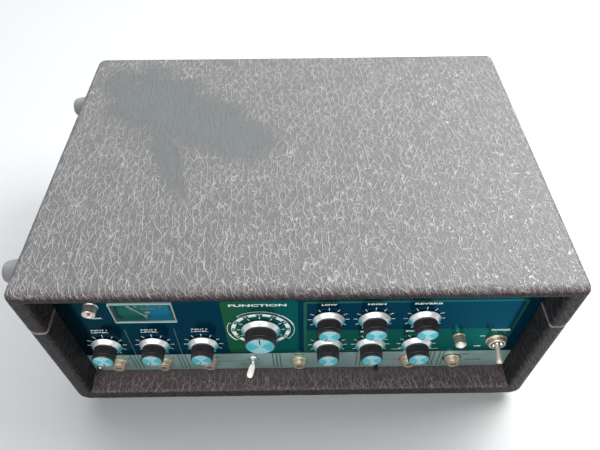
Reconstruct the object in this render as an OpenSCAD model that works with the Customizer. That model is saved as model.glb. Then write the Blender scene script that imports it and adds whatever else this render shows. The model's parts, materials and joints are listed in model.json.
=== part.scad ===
// Portable tape echo unit in a vinyl covered wooden case, built like a small amp head.
// Millimetres. X to the right seen from the front, Y to the back, Z up.
// The origin is on the ground, under the middle of the case.

/* [Case] */
// Width of the wooden case
case_w = 415; // [405:1:425]
// Depth of the wooden case
case_d = 298; // [290:1:310]
// Height of the wooden case without its feet
case_h = 178; // [176:1:184]
// Thickness of the side walls
wall_t = 15.5; // [14:0.5:17]
// Thickness of the floor board
floor_t = 18; // [16:0.5:19]
// Thickness of the top board
top_t = 9.5; // [8:0.5:11]
// Height of the seam between base and lid, above the case's underside
seam_h = 128; // [126:1:130]
// Depth of the recess in front of the control panel
recess_d = 21.5; // [20:0.5:23]
// Radius of the upper long edges
edge_r = 7; // [5:0.5:9]
// Radius of the lower long edges
bottom_r = 12; // [10:0.5:14]
// Radius of the edges round the front and the back
rim_r = 6; // [4:0.5:8]

/* [Feet and handle] */
// Height of the feet under the case
foot_h = 8; // [6:0.5:10]
// Height of the feet on the left side
side_foot_h = 22; // [18:0.5:24]
// Radius of a side foot at the wall
side_foot_r = 13; // [11:0.5:15]
// Distance of the side feet from the middle of the case
side_foot_y = 105; // [90:1:115]
// Length of the handle from cap to cap
handle_l = 190; // [170:1:210]
// Width of the handle strap
strap_w = 26; // [20:1:32]
// Thickness of the handle strap
strap_t = 7; // [5:0.5:8]
// Gap for the fingers behind the resting grip
finger_gap = 13; // [11:0.5:14]
// How far the grip pulls out
handle_travel = 16; // [8:1:20]

/* [Control panel] */
// Thickness of the panels
panel_t = 2; // [1.5:0.1:2.2]
// Height of the panel's top edge above the ground
panel_top = 145; // [144.5:0.5:146]
// Height of the row of jacks above the ground
jack_z = 43; // [42:0.5:44]
// Skirt radius of a small knob
knob_skirt_r = 13.7; // [12:0.1:14.5]
// Grip radius of a small knob
knob_grip_r = 9.6; // [9:0.1:10.5]
// Skirt radius of the mode knob
mode_skirt_r = 16.5; // [15:0.1:18]
// Grip radius of the mode knob
mode_grip_r = 13.1; // [12:0.1:14]
// How far a knob stands out of the panel
knob_l = 16.2; // [14:0.1:17]
// Width of the meter's window
meter_w = 50; // [46:0.5:52]
// Height of the meter's window
meter_h = 28; // [25:0.5:29]

/* [Tape deck] */
// Height of the deck's upper face above the ground
deck_z = 126; // [124:1:128]
// Width of the tape
tape_w = 6.35; // [6:0.05:6.5]
// Radius of the flywheel
flywheel_r = 32; // [26:1:34]
// Radius of the motor pulley
pulley_r = 6; // [5:0.5:8]
// Radius of the pinch roller
roller_r = 10; // [8:0.5:11]
// Angle between the parked and the running place of the pinch arm
pinch_swing = 10; // [6:1:12]

/* [Hidden] */
$fn = 48;

// name, x, height above the ground
SMALL_KNOBS = [
    ["knob_mic_1", -167.6, 76.5],
    ["knob_mic_2", -125.8, 76.5],
    ["knob_instrument", -83.5, 76.5],
    ["knob_bass", 24.5, 115],
    ["knob_treble", 62, 115],
    ["knob_reverb", 103, 115],
    ["knob_rate", 25, 72],
    ["knob_intensity", 62.5, 72],
    ["knob_echo", 103, 72]
];

slack = 0.06;                              // radial clearance of a turning shaft
cut = 1;                                   // how far a cutter passes a face
case_top = foot_h + case_h;
seam_z = foot_h + seam_h;
floor_z = foot_h + floor_t;
in_x = case_w / 2 - wall_t;
panel_y = recess_d - case_d / 2;           // front face of the control panel
rear_y = -panel_y;                         // outer face of the rear panel
panel_w = 2 * in_x - 1;
panel_low = floor_z + 1;
sheet_t = 1.2;

// mode selector, lamps, switches: x, height
MODE_AT = [-31.9, 100];
PEAK_AT = [-162.5, 140];
PILOT_AT = [138, 84];
POWER_AT = [172, 77];
LEVEL_AT = [-42, 46];
CANCEL_AT = [70.5, 46];
METER_AT = [-124, 130];
FRONT_JACKS = [-164.8, -123.4, -82.1, 0, 99.8, 140.5];
REAR_JACKS = [-150, -115, -80, -45];
REAR_JACK_Z = 50;
SLIDER_AT = [0, 50];
FUSE_AT = [135, 92];
GLAND_AT = [165, 50];
PANEL_SCREWS_FRONT = [[-187, 31], [187, 31]];
PANEL_SCREWS_REAR = [[-186, 32], [186, 32], [-186, 130], [186, 130]];

pot_bush_r = 3.5;
shaft_r = 3;
jack_bush_r = 4.75;
jack_bore_r = 3.25;                        // takes a 6.35 mm phone plug
mini_bush_r = 3;
power_bush_r = 6;
lever_lean = 12;
power_lean = 22;
lever_pivot = 3.5;                         // how far in front of the panel a lever turns
nut_t = 2.4;
screw_r = 1.5;

FEET_XY = [for (sx = [-1, 1], sy = [-1, 1]) [sx * 172, sy * 118]];
side_foot_low_z = 50;
side_foot_high_z = 156;
CATCH_Y = [-60, 60];
catch_r = 3;
catch_depth = 9;

handle_z = 78;
cap_l = 34;
cap_t = 12;
HANDLE_SCREWS_Y = [for (sy = [-1, 1], k = [-1, 1]) sy * (handle_l / 2 - cap_l / 2) + k * 10];

CAPSTAN_AT = [120, -60];
MOTOR_AT = [60, -10];
capstan_r = 3;
PINCH_AT = [152, -70];                     // pivot of the pinch arm
RUNNING_AT = [120, -60 - 3 - 1 - roller_r];
flywheel_z = 98;
flywheel_t = 12;
tape_z = deck_z + 8;
tape_run_y = -63.4;
tape_t = 0.3;

function turned(p, a) = [p[0] * cos(a) - p[1] * sin(a), p[0] * sin(a) + p[1] * cos(a)];
PARKED_AT = PINCH_AT + turned(RUNNING_AT - PINCH_AT, pinch_swing);

// ---------------------------------------------------------------- helpers

// A plane rectangle standing on the X axis, with round lower and upper corners
module round_rect(w, h, low_r, high_r) {
    translate([-w / 2, low_r]) square([w, h - low_r - high_r]);
    translate([low_r - w / 2, 0]) square([w - 2 * low_r, h / 2]);
    translate([high_r - w / 2, h / 2]) square([w - 2 * high_r, h / 2]);
    for (s = [-1, 1]) {
        translate([s * (w / 2 - low_r), low_r]) circle(r = low_r);
        translate([s * (w / 2 - high_r), h - high_r]) circle(r = high_r);
    }
}

// Children are built along +Z and then stand out of the front, from the given panel point
module front_at(p, y = panel_y) translate([p[0], y, p[1]]) rotate([90, 0, 0]) children();

// The same for the back: +Z points out of the rear panel
module back_at(p, y = rear_y) translate([p[0], y, p[1]]) rotate([-90, 0, 0]) children();

// A ring or tube along Z
module tube(outer_r, inner_r, h) {
    difference() {
        cylinder(r = outer_r, h = h);
        translate([0, 0, -cut]) cylinder(r = inner_r, h = h + 2 * cut);
    }
}

// A pan head screw along +Z with its head outside the surface at z = 0
module screw(shank_r, depth, head_r, head_t) {
    translate([0, 0, -depth]) cylinder(r = shank_r, h = depth);
    cylinder(r = head_r, h = head_t);
}

// A box with its middle at the origin in X and Y, standing on z = 0
module plate(w, d, h) translate([-w / 2, -d / 2, 0]) cube([w, d, h]);

// ---------------------------------------------------------------- case

module case_block() {
    intersection() {
        translate([0, case_d / 2, foot_h]) rotate([90, 0, 0])
            linear_extrude(case_d) round_rect(case_w, case_h, bottom_r, edge_r);
        translate([0, -case_d / 2, foot_h - cut])
            linear_extrude(case_h + 2 * cut) round_rect(case_w, case_d, rim_r, rim_r);
        translate([-case_w / 2 - cut, 0, foot_h]) rotate([90, 0, 90])
            linear_extrude(case_w + 2 * cut) round_rect(case_d, case_h, rim_r, rim_r);
    }
}

module case_shell() {
    difference() {
        case_block();
        translate([-in_x, -case_d / 2 - cut, floor_z])
            cube([2 * in_x, case_d + 2 * cut, case_h - floor_t - top_t]);
    }
}

// Where every screw or stud goes into the case: children are cutters or screws along +Z
module feet_places() {
    for (p = FEET_XY) translate([p[0], p[1], 0]) rotate([180, 0, 0]) translate([0, 0, -foot_h]) children();
}

module side_places(z) {
    for (s = [-1, 1]) translate([-case_w / 2, s * side_foot_y, z]) rotate([0, -90, 0]) children();
}

module handle_places() {
    for (y = HANDLE_SCREWS_Y) translate([case_w / 2, y, handle_z]) rotate([0, 90, 0]) children();
}

module catch_places() {
    for (s = [-1, 1], y = CATCH_Y) translate([s * (case_w / 2 - wall_t / 2), y, seam_z]) children();
}

foot_screw_depth = 10;

module pilot_hole(depth = foot_screw_depth) translate([0, 0, -depth]) cylinder(r = screw_r, h = depth + cut);

module case_base() {
    color([0.16, 0.14, 0.15]) difference() {
        intersection() {
            case_shell();
            translate([-case_w, -case_d, 0]) cube([2 * case_w, 2 * case_d, seam_z]);
        }
        feet_places() pilot_hole();
        side_places(side_foot_low_z) pilot_hole();
        handle_places() pilot_hole();
        catch_places() translate([0, 0, -catch_depth]) cylinder(r = catch_r + 0.3, h = catch_depth + cut);
    }
}

module lid() {
    color([0.6, 0.6, 0.61]) difference() {
        intersection() {
            case_shell();
            translate([-case_w, -case_d, seam_z]) cube([2 * case_w, 2 * case_d, case_h]);
        }
        side_places(side_foot_high_z) pilot_hole();
        catch_places() cylinder(r = catch_r, h = catch_depth);
    }
}

board_t = 6;

module lid_boards() {
    board_h = case_top - top_t - panel_top - 0.5;
    rear_h = case_top - top_t - seam_z;
    color([0.02, 0.06, 0.1]) {
        translate([-in_x, panel_y, panel_top + 0.5]) cube([2 * in_x, board_t, board_h]);
        translate([-in_x, rear_y - board_t, seam_z]) cube([2 * in_x, board_t, rear_h]);
    }
}

module catch_studs() {
    color("silver") catch_places() {
        cylinder(r = catch_r, h = catch_depth);
        translate([0, 0, 0.8 - catch_depth]) cylinder(r = catch_r - 0.3, h = catch_depth - 0.8);
        translate([0, 0, -5]) sphere(r = catch_r);
    }
}

// ---------------------------------------------------------------- feet

// A rubber foot along +Z with a sunk screw hole
module foot(base_r, tip_r, h, sink) {
    difference() {
        cylinder(r1 = base_r, r2 = tip_r, h = h);
        translate([0, 0, -cut]) cylinder(r = screw_r, h = h + 2 * cut);
        translate([0, 0, h - sink]) cylinder(r = 4.2, h = sink + cut);
    }
}

module foot_screw(h, sink) translate([0, 0, h - sink]) screw(screw_r, h - sink + foot_screw_depth - 1, 3.6, 2);

module feet_base() {
    color([0.05, 0.05, 0.05]) {
        feet_places() foot(11, 10, foot_h, 3.5);
        side_places(side_foot_low_z) foot(side_foot_r, 9, side_foot_h, 8);
    }
}

module feet_lid() color([0.05, 0.05, 0.05]) side_places(side_foot_high_z) foot(side_foot_r, 9, side_foot_h, 8);

module foot_screws_base() {
    color("silver") {
        feet_places() foot_screw(foot_h, 3.5);
        side_places(side_foot_low_z) foot_screw(side_foot_h, 8);
    }
}

module foot_screws_lid() color("silver") side_places(side_foot_high_z) foot_screw(side_foot_h, 8);

// ---------------------------------------------------------------- handle

strap_x = case_w / 2 + finger_gap;         // inner face of the resting grip
grip_half = handle_l / 2 - cap_l - 12;

module handle_grip() {
    color([0.06, 0.06, 0.06]) translate([strap_x, 0, handle_z - strap_w / 2]) {
        translate([0, -grip_half, 0]) cube([strap_t, 2 * grip_half, strap_w]);
        for (s = [-1, 1], k = [0 : 2])
            translate([strap_t - 0.5, s * (grip_half - 8 - 7 * k) - 1.5, 3]) cube([2.5, 3, strap_w - 6]);
    }
}

// The ends of the strap run from the caps out to the grip
module handle_ends() {
    out = strap_x - case_w / 2;
    low = handle_l / 2 - cap_l;
    near = grip_half + 0.6;
    color([0.06, 0.06, 0.06]) for (s = [0, 1]) mirror([0, s, 0])
        translate([case_w / 2, 0, handle_z - strap_w / 2 + 1]) linear_extrude(strap_w - 2)
            polygon([[2, low], [7, low], [out + strap_t, near + 4], [out + strap_t, near], [out, near],
                     [out, near + 3]]);
}

module handle_caps() {
    corner_r = 4;
    color("silver") difference() {
        for (s = [-1, 1])
            translate([case_w / 2, s * (handle_l / 2 - cap_l / 2), handle_z]) rotate([90, 0, 90])
                linear_extrude(cap_t) translate([0, -strap_w / 2 - 2])
                    round_rect(cap_l, strap_w + 4, corner_r, corner_r);
        handle_places() translate([0, 0, -cut]) cylinder(r = screw_r, h = cap_t + 2 * cut);
    }
}

module handle_screws() color("silver") handle_places() translate([0, 0, cap_t]) screw(screw_r, cap_t + 9, 3.4, 1.8);

// ---------------------------------------------------------------- chassis and panels

// Children cut one hole each, along +Z out of the front, for the lower row and for the whole panel
module lower_row_holes(jack_r, mini_r) {
    for (x = FRONT_JACKS) front_at([x, jack_z]) hole(jack_r);
    front_at(LEVEL_AT) hole(mini_r);
    front_at(CANCEL_AT) hole(mini_r);
}

module hole(r) translate([0, 0, -30]) cylinder(r = r, h = 40);

module front_holes() {
    lower_row_holes(jack_bush_r, mini_bush_r);
    for (k = SMALL_KNOBS) front_at([k[1], k[2]]) hole(pot_bush_r);
    front_at(MODE_AT) hole(pot_bush_r);
    front_at(PEAK_AT) hole(4);
    front_at(PILOT_AT) hole(4);
    front_at(POWER_AT) hole(power_bush_r);
    for (p = PANEL_SCREWS_FRONT) front_at(p) hole(screw_r);
    front_at(METER_AT) translate([0, 0, -30]) linear_extrude(40)
        square([meter_w - 2, meter_h - 2], center = true);
}

module rear_holes() {
    for (x = REAR_JACKS) back_at([x, REAR_JACK_Z]) hole(jack_bush_r);
    for (p = PANEL_SCREWS_REAR) back_at(p) hole(screw_r);
    back_at(FUSE_AT) hole(6);
    back_at(GLAND_AT) hole(7);
    back_at(SLIDER_AT) translate([0, 0, -30]) linear_extrude(40) square([12, 6], center = true);
}

module front_panel() {
    color([0.02, 0.12, 0.18]) difference() {
        translate([-panel_w / 2, panel_y, panel_low]) cube([panel_w, panel_t, panel_top - panel_low]);
        front_holes();
    }
}

vent_n = 14;
vent_gap = 7;

module rear_panel() {
    color([0.12, 0.12, 0.13]) difference() {
        translate([-panel_w / 2, rear_y - panel_t, panel_low])
            cube([panel_w, panel_t, seam_z - 0.5 - panel_low]);
        rear_holes();
        for (k = [0 : vent_n - 1])
            translate([(k - (vent_n - 1) / 2) * vent_gap - 60, rear_y - 5, 82]) cube([3, 10, 36]);
    }
}

flange_h = 58 - floor_z;

module chassis() {
    depth = 2 * (rear_y - panel_t);
    color([0.7, 0.7, 0.68]) difference() {
        translate([-panel_w / 2, -depth / 2, floor_z]) cube([panel_w, depth, flange_h]);
        translate([-panel_w, -depth / 2 + sheet_t, floor_z + sheet_t])
            cube([2 * panel_w, depth - 2 * sheet_t, flange_h]);
        lower_row_holes(jack_bush_r + 1, mini_bush_r + 1);
        for (p = PANEL_SCREWS_FRONT) front_at(p) hole(screw_r);
        for (x = REAR_JACKS) back_at([x, REAR_JACK_Z]) hole(jack_bush_r + 1);
        for (p = PANEL_SCREWS_REAR) back_at(p) hole(screw_r);
        back_at(GLAND_AT) hole(11);
        back_at(SLIDER_AT) translate([0, 0, -30]) linear_extrude(40) square([30, 14], center = true);
    }
}

module panel_screws() {
    color("silver") {
        for (p = PANEL_SCREWS_FRONT) front_at(p) screw(screw_r, 6, 3, 1.6);
        for (p = PANEL_SCREWS_REAR) back_at(p) screw(screw_r, 6, 3, 1.6);
    }
}

// ---------------------------------------------------------------- controls

// Knob along +Z: a silver skirt, a dark grip and a flat cap, hollow behind for the nut
module knob(skirt_r, grip_r) {
    gap = 0.9;
    rim = 0.8;
    root = 5.2;
    difference() {
        rotate_extrude() polygon([
            [0, gap + 4], [6.8, gap + 4], [6.8, gap], [skirt_r, gap], [skirt_r, gap + rim],
            [grip_r + 0.4, root], [grip_r, knob_l - 1.4], [grip_r - 0.9, knob_l - 0.4],
            [grip_r - 1.3, knob_l - 0.4], [grip_r - 1.3, knob_l], [0, knob_l]
        ]);
        translate([0, 0, gap]) cylinder(r = shaft_r, h = 12 - gap);
    }
    translate([0, 0, -8]) cylinder(r = shaft_r, h = 20);
}

module small_knob(k) color([0.12, 0.12, 0.13]) front_at([k[1], k[2]]) knob(knob_skirt_r, knob_grip_r);

module knob_mode() color([0.12, 0.12, 0.13]) front_at(MODE_AT) knob(mode_skirt_r, mode_grip_r);

// The threaded bush of a control, through the panel, with room for its shaft
module control_bush(can_r, can_t) {
    difference() {
        union() {
            translate([0, 0, -panel_t]) cylinder(r = pot_bush_r, h = panel_t + nut_t + 0.4);
            translate([0, 0, -panel_t - can_t]) cylinder(r = can_r, h = can_t);
        }
        translate([0, 0, -8 - slack]) cylinder(r = shaft_r + slack, h = 20);
    }
}

module potentiometers() {
    color([0.75, 0.74, 0.7]) for (k = SMALL_KNOBS) front_at([k[1], k[2]]) {
        control_bush(11, 10);
        translate([0, -13, -panel_t - 6]) plate(14, 6, 1.6);
    }
}

module mode_switch() {
    color([0.72, 0.62, 0.42]) front_at(MODE_AT) {
        control_bush(15, 8);
        for (k = [0 : 1]) translate([0, 0, -panel_t - 16 - 10 * k]) cylinder(r = 17, h = 2);
        for (s = [-1, 1]) translate([s * 13, 0, -panel_t - 30]) cylinder(r = 1.6, h = 22.5);
    }
}

// A dress nut of a jack, wide at the panel
module dress_nut() {
    difference() {
        union() {
            cylinder(r = 7, h = 1.4);
            translate([0, 0, 1.4]) cylinder(r1 = 6.4, r2 = 5.6, h = 3.6);
        }
        translate([0, 0, -cut]) cylinder(r = jack_bush_r, h = 10);
    }
}

module hex_nut(bore_r, across_r, h) {
    difference() {
        cylinder(r = across_r, h = h, $fn = 6);
        translate([0, 0, -cut]) cylinder(r = bore_r, h = h + 2 * cut);
    }
}

module panel_nuts() {
    color([0.75, 0.65, 0.45]) {
        for (k = SMALL_KNOBS) front_at([k[1], k[2]]) hex_nut(pot_bush_r, 6, nut_t);
        front_at(MODE_AT) hex_nut(pot_bush_r, 6, nut_t);
        for (x = FRONT_JACKS) front_at([x, jack_z]) dress_nut();
        for (x = REAR_JACKS) back_at([x, REAR_JACK_Z]) dress_nut();
        front_at(LEVEL_AT) hex_nut(mini_bush_r, 4.6, 1.8);
        front_at(CANCEL_AT) hex_nut(mini_bush_r, 4.6, 1.8);
        front_at(POWER_AT) difference() {
            cylinder(r = 8.2, h = 2.6);
            translate([0, 0, -cut]) cylinder(r = power_bush_r, h = 10);
        }
    }
}

jack_len = 30;
jack_nose = 6.6;

// Jack along +Z: bush through the panel and a box behind it, with one straight bore
module jack() {
    difference() {
        union() {
            translate([0, 0, -panel_t - sheet_t]) cylinder(r = jack_bush_r, h = panel_t + sheet_t + jack_nose);
            translate([0, 0, -panel_t - sheet_t - jack_len + 4]) plate(16, 13, jack_len - 4);
        }
        translate([0, 0, jack_nose - jack_len]) cylinder(r = jack_bore_r, h = jack_len + cut);
    }
}

module jacks() {
    color([0.72, 0.6, 0.4]) {
        for (x = FRONT_JACKS) front_at([x, jack_z]) jack();
        for (x = REAR_JACKS) back_at([x, REAR_JACK_Z]) jack();
    }
}

// ---------------------------------------------------------------- meter and lamps

lens_out = 2.4;
meter_deep = 26;
meter_wall = 1.6;
dial_back = 4;                             // how far behind the panel's face the dial's back is

module vu_case() {
    back = panel_t + meter_deep;
    color([0.1, 0.1, 0.1]) front_at(METER_AT) difference() {
        translate([0, 0, -back]) linear_extrude(back) square([meter_w - 2.2, meter_h - 2.2], center = true);
        translate([0, 0, meter_wall - back]) linear_extrude(back)
            square([meter_w - 2.2 - 2 * meter_wall, meter_h - 2.2 - 2 * meter_wall], center = true);
    }
}

module vu_dial() {
    color([0.05, 0.3, 0.3]) front_at(METER_AT) difference() {
        translate([0, 0, -dial_back]) linear_extrude(0.8) square([meter_w - 5.6, meter_h - 5.6], center = true);
        translate([0, NEEDLE_Y, -10]) cylinder(r = 1.4, h = 10);
    }
}

module vu_lens() {
    color([0.7, 0.85, 0.85, 0.4]) front_at(METER_AT) difference() {
        linear_extrude(lens_out) square([meter_w, meter_h], center = true);
        translate([0, 0, -cut]) linear_extrude(lens_out - 1.2 + cut)
            square([meter_w - 4, meter_h - 4], center = true);
    }
}

NEEDLE_Y = -10;
needle_l = 20.6;
needle_rest = 37;
hub_l = 9.6;

module vu_needle() {
    color("silver") front_at(METER_AT) translate([0, NEEDLE_Y, -11]) {
        cylinder(r = 1, h = hub_l);
        translate([0, 0, hub_l - 0.8]) rotate([0, 0, needle_rest]) translate([-0.3, 0, 0]) cube([0.6, needle_l, 0.5]);
    }
}

module peak_lamp() {
    color("silver") front_at(PEAK_AT) difference() {
        union() {
            translate([0, 0, -12]) cylinder(r = 4, h = 14);
            cylinder(r = 5.6, h = 8.4);
        }
        translate([0, 0, 6]) cylinder(r = 4.2, h = 4);
    }
    color("red") front_at(PEAK_AT) translate([0, 0, 6]) {
        cylinder(r = 2, h = 1.2);
        translate([0, 0, 1.2]) sphere(r = 2);
    }
}

module pilot_lamp() {
    color("silver") front_at(PILOT_AT) tube(4, 3, 9);
    color("silver") front_at(PILOT_AT) {
        tube(5.6, 4, 1.6);
        translate([0, 0, -14]) tube(4, 3, 14);
    }
}

module pilot_lens() {
    color("white") front_at(PILOT_AT) {
        cylinder(r = 3, h = 8);
        translate([0, 0, 8]) intersection() {
            translate([0, 0, -4]) sphere(r = 5);
            cylinder(r = 3, h = 3);
        }
    }
}

// ---------------------------------------------------------------- switches

// A switch along +Z: body behind the panel, bush through it, and room for the lever
module toggle_body(bush_r, bush_out, w, d, h, room_r) {
    difference() {
        union() {
            translate([0, 0, -panel_t - sheet_t]) cylinder(r = bush_r, h = panel_t + sheet_t + bush_out);
            translate([0, 0, -panel_t - sheet_t - h]) plate(w, d, h);
        }
        translate([0, 0, lever_pivot]) rotate_extrude()
            polygon([[0, 12], [room_r + 4, 12], [room_r, -1.5], [room_r, -5], [0, -5]]);
    }
}

module power_switch() {
    color("silver") front_at(POWER_AT) toggle_body(power_bush_r, 5, 17, 28, 26, 4.4);
}

// A bat lever along +Z from its ball joint, thicker towards its round tip
module bat_lever(ball_r, neck_r, tip_r, l) {
    sphere(r = ball_r);
    cylinder(r1 = neck_r, r2 = tip_r, h = l);
    translate([0, 0, l]) sphere(r = tip_r);
}

module power_toggle() {
    color("silver") front_at(POWER_AT) translate([0, 0, lever_pivot]) rotate([power_lean, 0, 0])
        bat_lever(3, 1.6, 2.4, 14.4);
}

module panel_switches() {
    color([0.3, 0.3, 0.32]) {
        for (p = [LEVEL_AT, CANCEL_AT]) front_at(p) toggle_body(mini_bush_r, 4, 9, 12, 12, 2.2);
        back_at(SLIDER_AT) translate([0, 0, -panel_t - 10]) difference() {
            plate(26, 11, 10);
            translate([0, 0, 5]) plate(12.6, 6.2, 6);
        }
    }
}

module side_lever(p, tip_r, l) {
    front_at(p) translate([0, 0, lever_pivot]) rotate([0, -lever_lean, 0]) bat_lever(1.6, 1.1, tip_r, l);
}

module level_lever() color("white") side_lever(LEVEL_AT, 2.6, 12);

module cancel_lever() color([0.08, 0.08, 0.08]) side_lever(CANCEL_AT, 2, 8.5);

slider_travel = 6;

module output_slider() {
    color([0.08, 0.08, 0.08]) back_at(SLIDER_AT) {
        translate([-slider_travel / 2, 0, -4.8]) plate(6, 5.6, 4.6 + 2.5);
    }
}

// ---------------------------------------------------------------- rear fittings

module fuse_holder() {
    color([0.06, 0.06, 0.06]) back_at(FUSE_AT) {
        translate([0, 0, -30]) cylinder(r = 6, h = 30);
        cylinder(r = 9, h = 2.5);
        translate([0, 0, 2.5]) cylinder(r = 7, h = 8);
    }
}

module cord_gland() {
    color([0.06, 0.06, 0.06]) back_at(GLAND_AT) difference() {
        union() {
            translate([0, 0, -panel_t]) cylinder(r = 7, h = panel_t);
            translate([0, 0, -panel_t - 4]) cylinder(r = 9, h = 4);
            cylinder(r = 10, h = 4);
            translate([0, 0, 4]) cylinder(r1 = 8, r2 = 6, h = 10);
        }
        translate([0, 0, -10]) cylinder(r = 4, h = 30);
    }
}

// ---------------------------------------------------------------- tape deck

deck_t = 2;
deck_front = -98;
deck_back = rear_y - 14;
LEGS = [[-178, deck_front + 8], [178, deck_front + 8], [-178, deck_back - 8], [178, deck_back - 8]];
bearing_h = 12;

module deck_plate() {
    color([0.65, 0.66, 0.68]) difference() {
        union() {
            translate([-in_x + 3, deck_front, deck_z - deck_t])
                cube([2 * in_x - 6, deck_back - deck_front, deck_t]);
            for (p = LEGS) translate([p[0], p[1], floor_z + sheet_t])
                cylinder(r = 4, h = deck_z - deck_t - floor_z - sheet_t);
            translate([CAPSTAN_AT[0], CAPSTAN_AT[1], deck_z - deck_t - bearing_h]) cylinder(r = 7, h = bearing_h);
        }
        translate([CAPSTAN_AT[0], CAPSTAN_AT[1], 0]) cylinder(r = capstan_r + slack, h = case_h);
        translate([PINCH_AT[0], PINCH_AT[1], 0]) cylinder(r = 3, h = case_h);
    }
}

TANK = [-130, -34, 84, 104];               // low x, low y, high x, high y
tank_h = 12;
tank_wall = 2;

// Clear cover over the tape tank, open at the front where the tape runs in and out
module tape_cover() {
    color([0.8, 0.9, 0.9, 0.35]) translate([0, 0, deck_z]) difference() {
        translate([TANK[0], TANK[1], 0]) cube([TANK[2] - TANK[0], TANK[3] - TANK[1], tank_h + tank_wall]);
        translate([TANK[0] + tank_wall, TANK[1] - tank_wall, -tank_wall])
            cube([TANK[2] - TANK[0] - 2 * tank_wall, TANK[3] - TANK[1], tank_h + tank_wall]);
    }
}

loop_left = -116;
loop_right = 134;
bend_r = 8;
fold_n = 5;
fold_steps = 16;
fold_low = -26;
fold_high = 92;
fold_right = 66;
fold_left = -104;

function arc(c, r, a, b, n) = [for (k = [0 : n]) c + r * [cos(a + (b - a) * k / n), sin(a + (b - a) * k / n)]];

// The closed path of the tape: along the heads, round the right post, back and through the tank in folds
function fold_y(t) = (fold_low + fold_high) / 2 - (fold_high - fold_low) / 2 * cos(360 * fold_n * t);
TAPE_PATH = concat(
    arc([loop_right, tape_run_y + bend_r], bend_r, -90, 90, 10),
    arc([fold_right + bend_r, tape_run_y + 3 * bend_r], bend_r, 270, 180, 8),
    [for (k = [0 : fold_n * fold_steps])
        let (t = k / (fold_n * fold_steps)) [fold_right + (fold_left - fold_right) * t, fold_y(t)]],
    arc([loop_left + bend_r, tape_run_y + 3 * bend_r], bend_r, 150, 180, 3),
    arc([loop_left + bend_r, tape_run_y + bend_r], bend_r, 180, 270, 8)
);

function side(path, k, d) =
    let (n = len(path), a = path[(k + n - 1) % n], b = path[(k + 1) % n], v = (b - a) / norm(b - a))
    path[k] + d * [v[1], -v[0]];
function beside(path, d) = [for (k = [0 : len(path) - 1]) side(path, k, d)];

module tape_loop() {
    color([0.25, 0.16, 0.1]) translate([0, 0, tape_z - tape_w / 2]) linear_extrude(tape_w) difference() {
        polygon(beside(TAPE_PATH, tape_t / 2));
        polygon(beside(TAPE_PATH, -tape_t / 2));
    }
}

guide_r = bend_r - tape_t / 2 - 0.1;

module tape_guides() {
    color("silver") for (x = [loop_left + bend_r, loop_right])
        translate([x, tape_run_y + bend_r, deck_z]) {
            cylinder(r = guide_r, h = 12);
            translate([0, 0, 12]) cylinder(r = guide_r + 1.6, h = 1.2);
        }
}

HEADS_X = [-92, -62, -30, 8, 50];
block_h = 4;

module head_block() {
    color([0.3, 0.3, 0.32]) difference() {
        translate([HEADS_X[0] - 12, tape_run_y - 24, deck_z])
            cube([HEADS_X[4] - HEADS_X[0] + 24, 23, block_h]);
    }
}

module heads() {
    color([0.8, 0.8, 0.82]) for (x = HEADS_X) translate([x, tape_run_y - 14, deck_z + block_h]) {
        plate(13, 14, 14);
        intersection() {
            translate([0, 4.2, 0]) cylinder(r = 8, h = 14);
            translate([0, 9.5, 0]) plate(12, 7, 14);
        }
    }
}

module capstan() {
    color("silver") translate([CAPSTAN_AT[0], CAPSTAN_AT[1], 0]) {
        translate([0, 0, flywheel_z - 4]) cylinder(r = capstan_r, h = deck_z + 26 - flywheel_z);
        translate([0, 0, flywheel_z]) tube(flywheel_r, capstan_r, flywheel_t);
    }
}

motor_r = 24;
motor_top = 92;
motor_shaft_r = 2;

module motor() {
    color([0.35, 0.36, 0.38]) translate([MOTOR_AT[0], MOTOR_AT[1], floor_z + sheet_t]) difference() {
        union() {
            cylinder(r = motor_r, h = motor_top - floor_z - sheet_t - 2);
            cylinder(r = motor_r - 6, h = motor_top - floor_z - sheet_t);
        }
        translate([0, 0, 30]) cylinder(r = motor_shaft_r + slack, h = 60);
    }
}

module motor_pulley() {
    color([0.75, 0.65, 0.4]) translate([MOTOR_AT[0], MOTOR_AT[1], 0]) {
        translate([0, 0, 62]) cylinder(r = motor_shaft_r, h = flywheel_z + flywheel_t - 62);
        translate([0, 0, flywheel_z]) tube(pulley_r, motor_shaft_r, flywheel_t);
    }
}

belt_t = 1.2;
belt_gap = 0.25;

module belt_outline(extra) {
    hull() {
        translate(CAPSTAN_AT) circle(r = flywheel_r + extra);
        translate(MOTOR_AT) circle(r = pulley_r + extra);
    }
}

module drive_belt() {
    color([0.05, 0.05, 0.05]) translate([0, 0, flywheel_z + 3.5]) linear_extrude(5) difference() {
        belt_outline(belt_gap + belt_t);
        belt_outline(belt_gap);
    }
}

arm_z = deck_z + 2;
arm_t = 2.5;

module pinch_arm() {
    v = PARKED_AT - PINCH_AT;
    color([0.6, 0.62, 0.64]) {
        difference() {
            translate([PINCH_AT[0], PINCH_AT[1], arm_z]) {
                cylinder(r = 6, h = arm_t);
                rotate([0, 0, atan2(v[1], v[0])]) translate([0, -4, 0]) cube([norm(v), 8, arm_t]);
            }
            translate([PARKED_AT[0], PARKED_AT[1], 0]) cylinder(r = 2, h = case_h);
        }
        translate([PINCH_AT[0], PINCH_AT[1], deck_z - deck_t - 3]) cylinder(r = 3 - slack, h = 9);
        translate([PARKED_AT[0], PARKED_AT[1], arm_z]) cylinder(r = 2, h = 20);
    }
}

module pinch_roller() {
    color([0.08, 0.08, 0.08]) translate([PARKED_AT[0], PARKED_AT[1], arm_z + arm_t + 0.3])
        tube(roller_r, 2 + slack, 13);
}

// ---------------------------------------------------------------- electronics

inner_z = floor_z + sheet_t;

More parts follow.
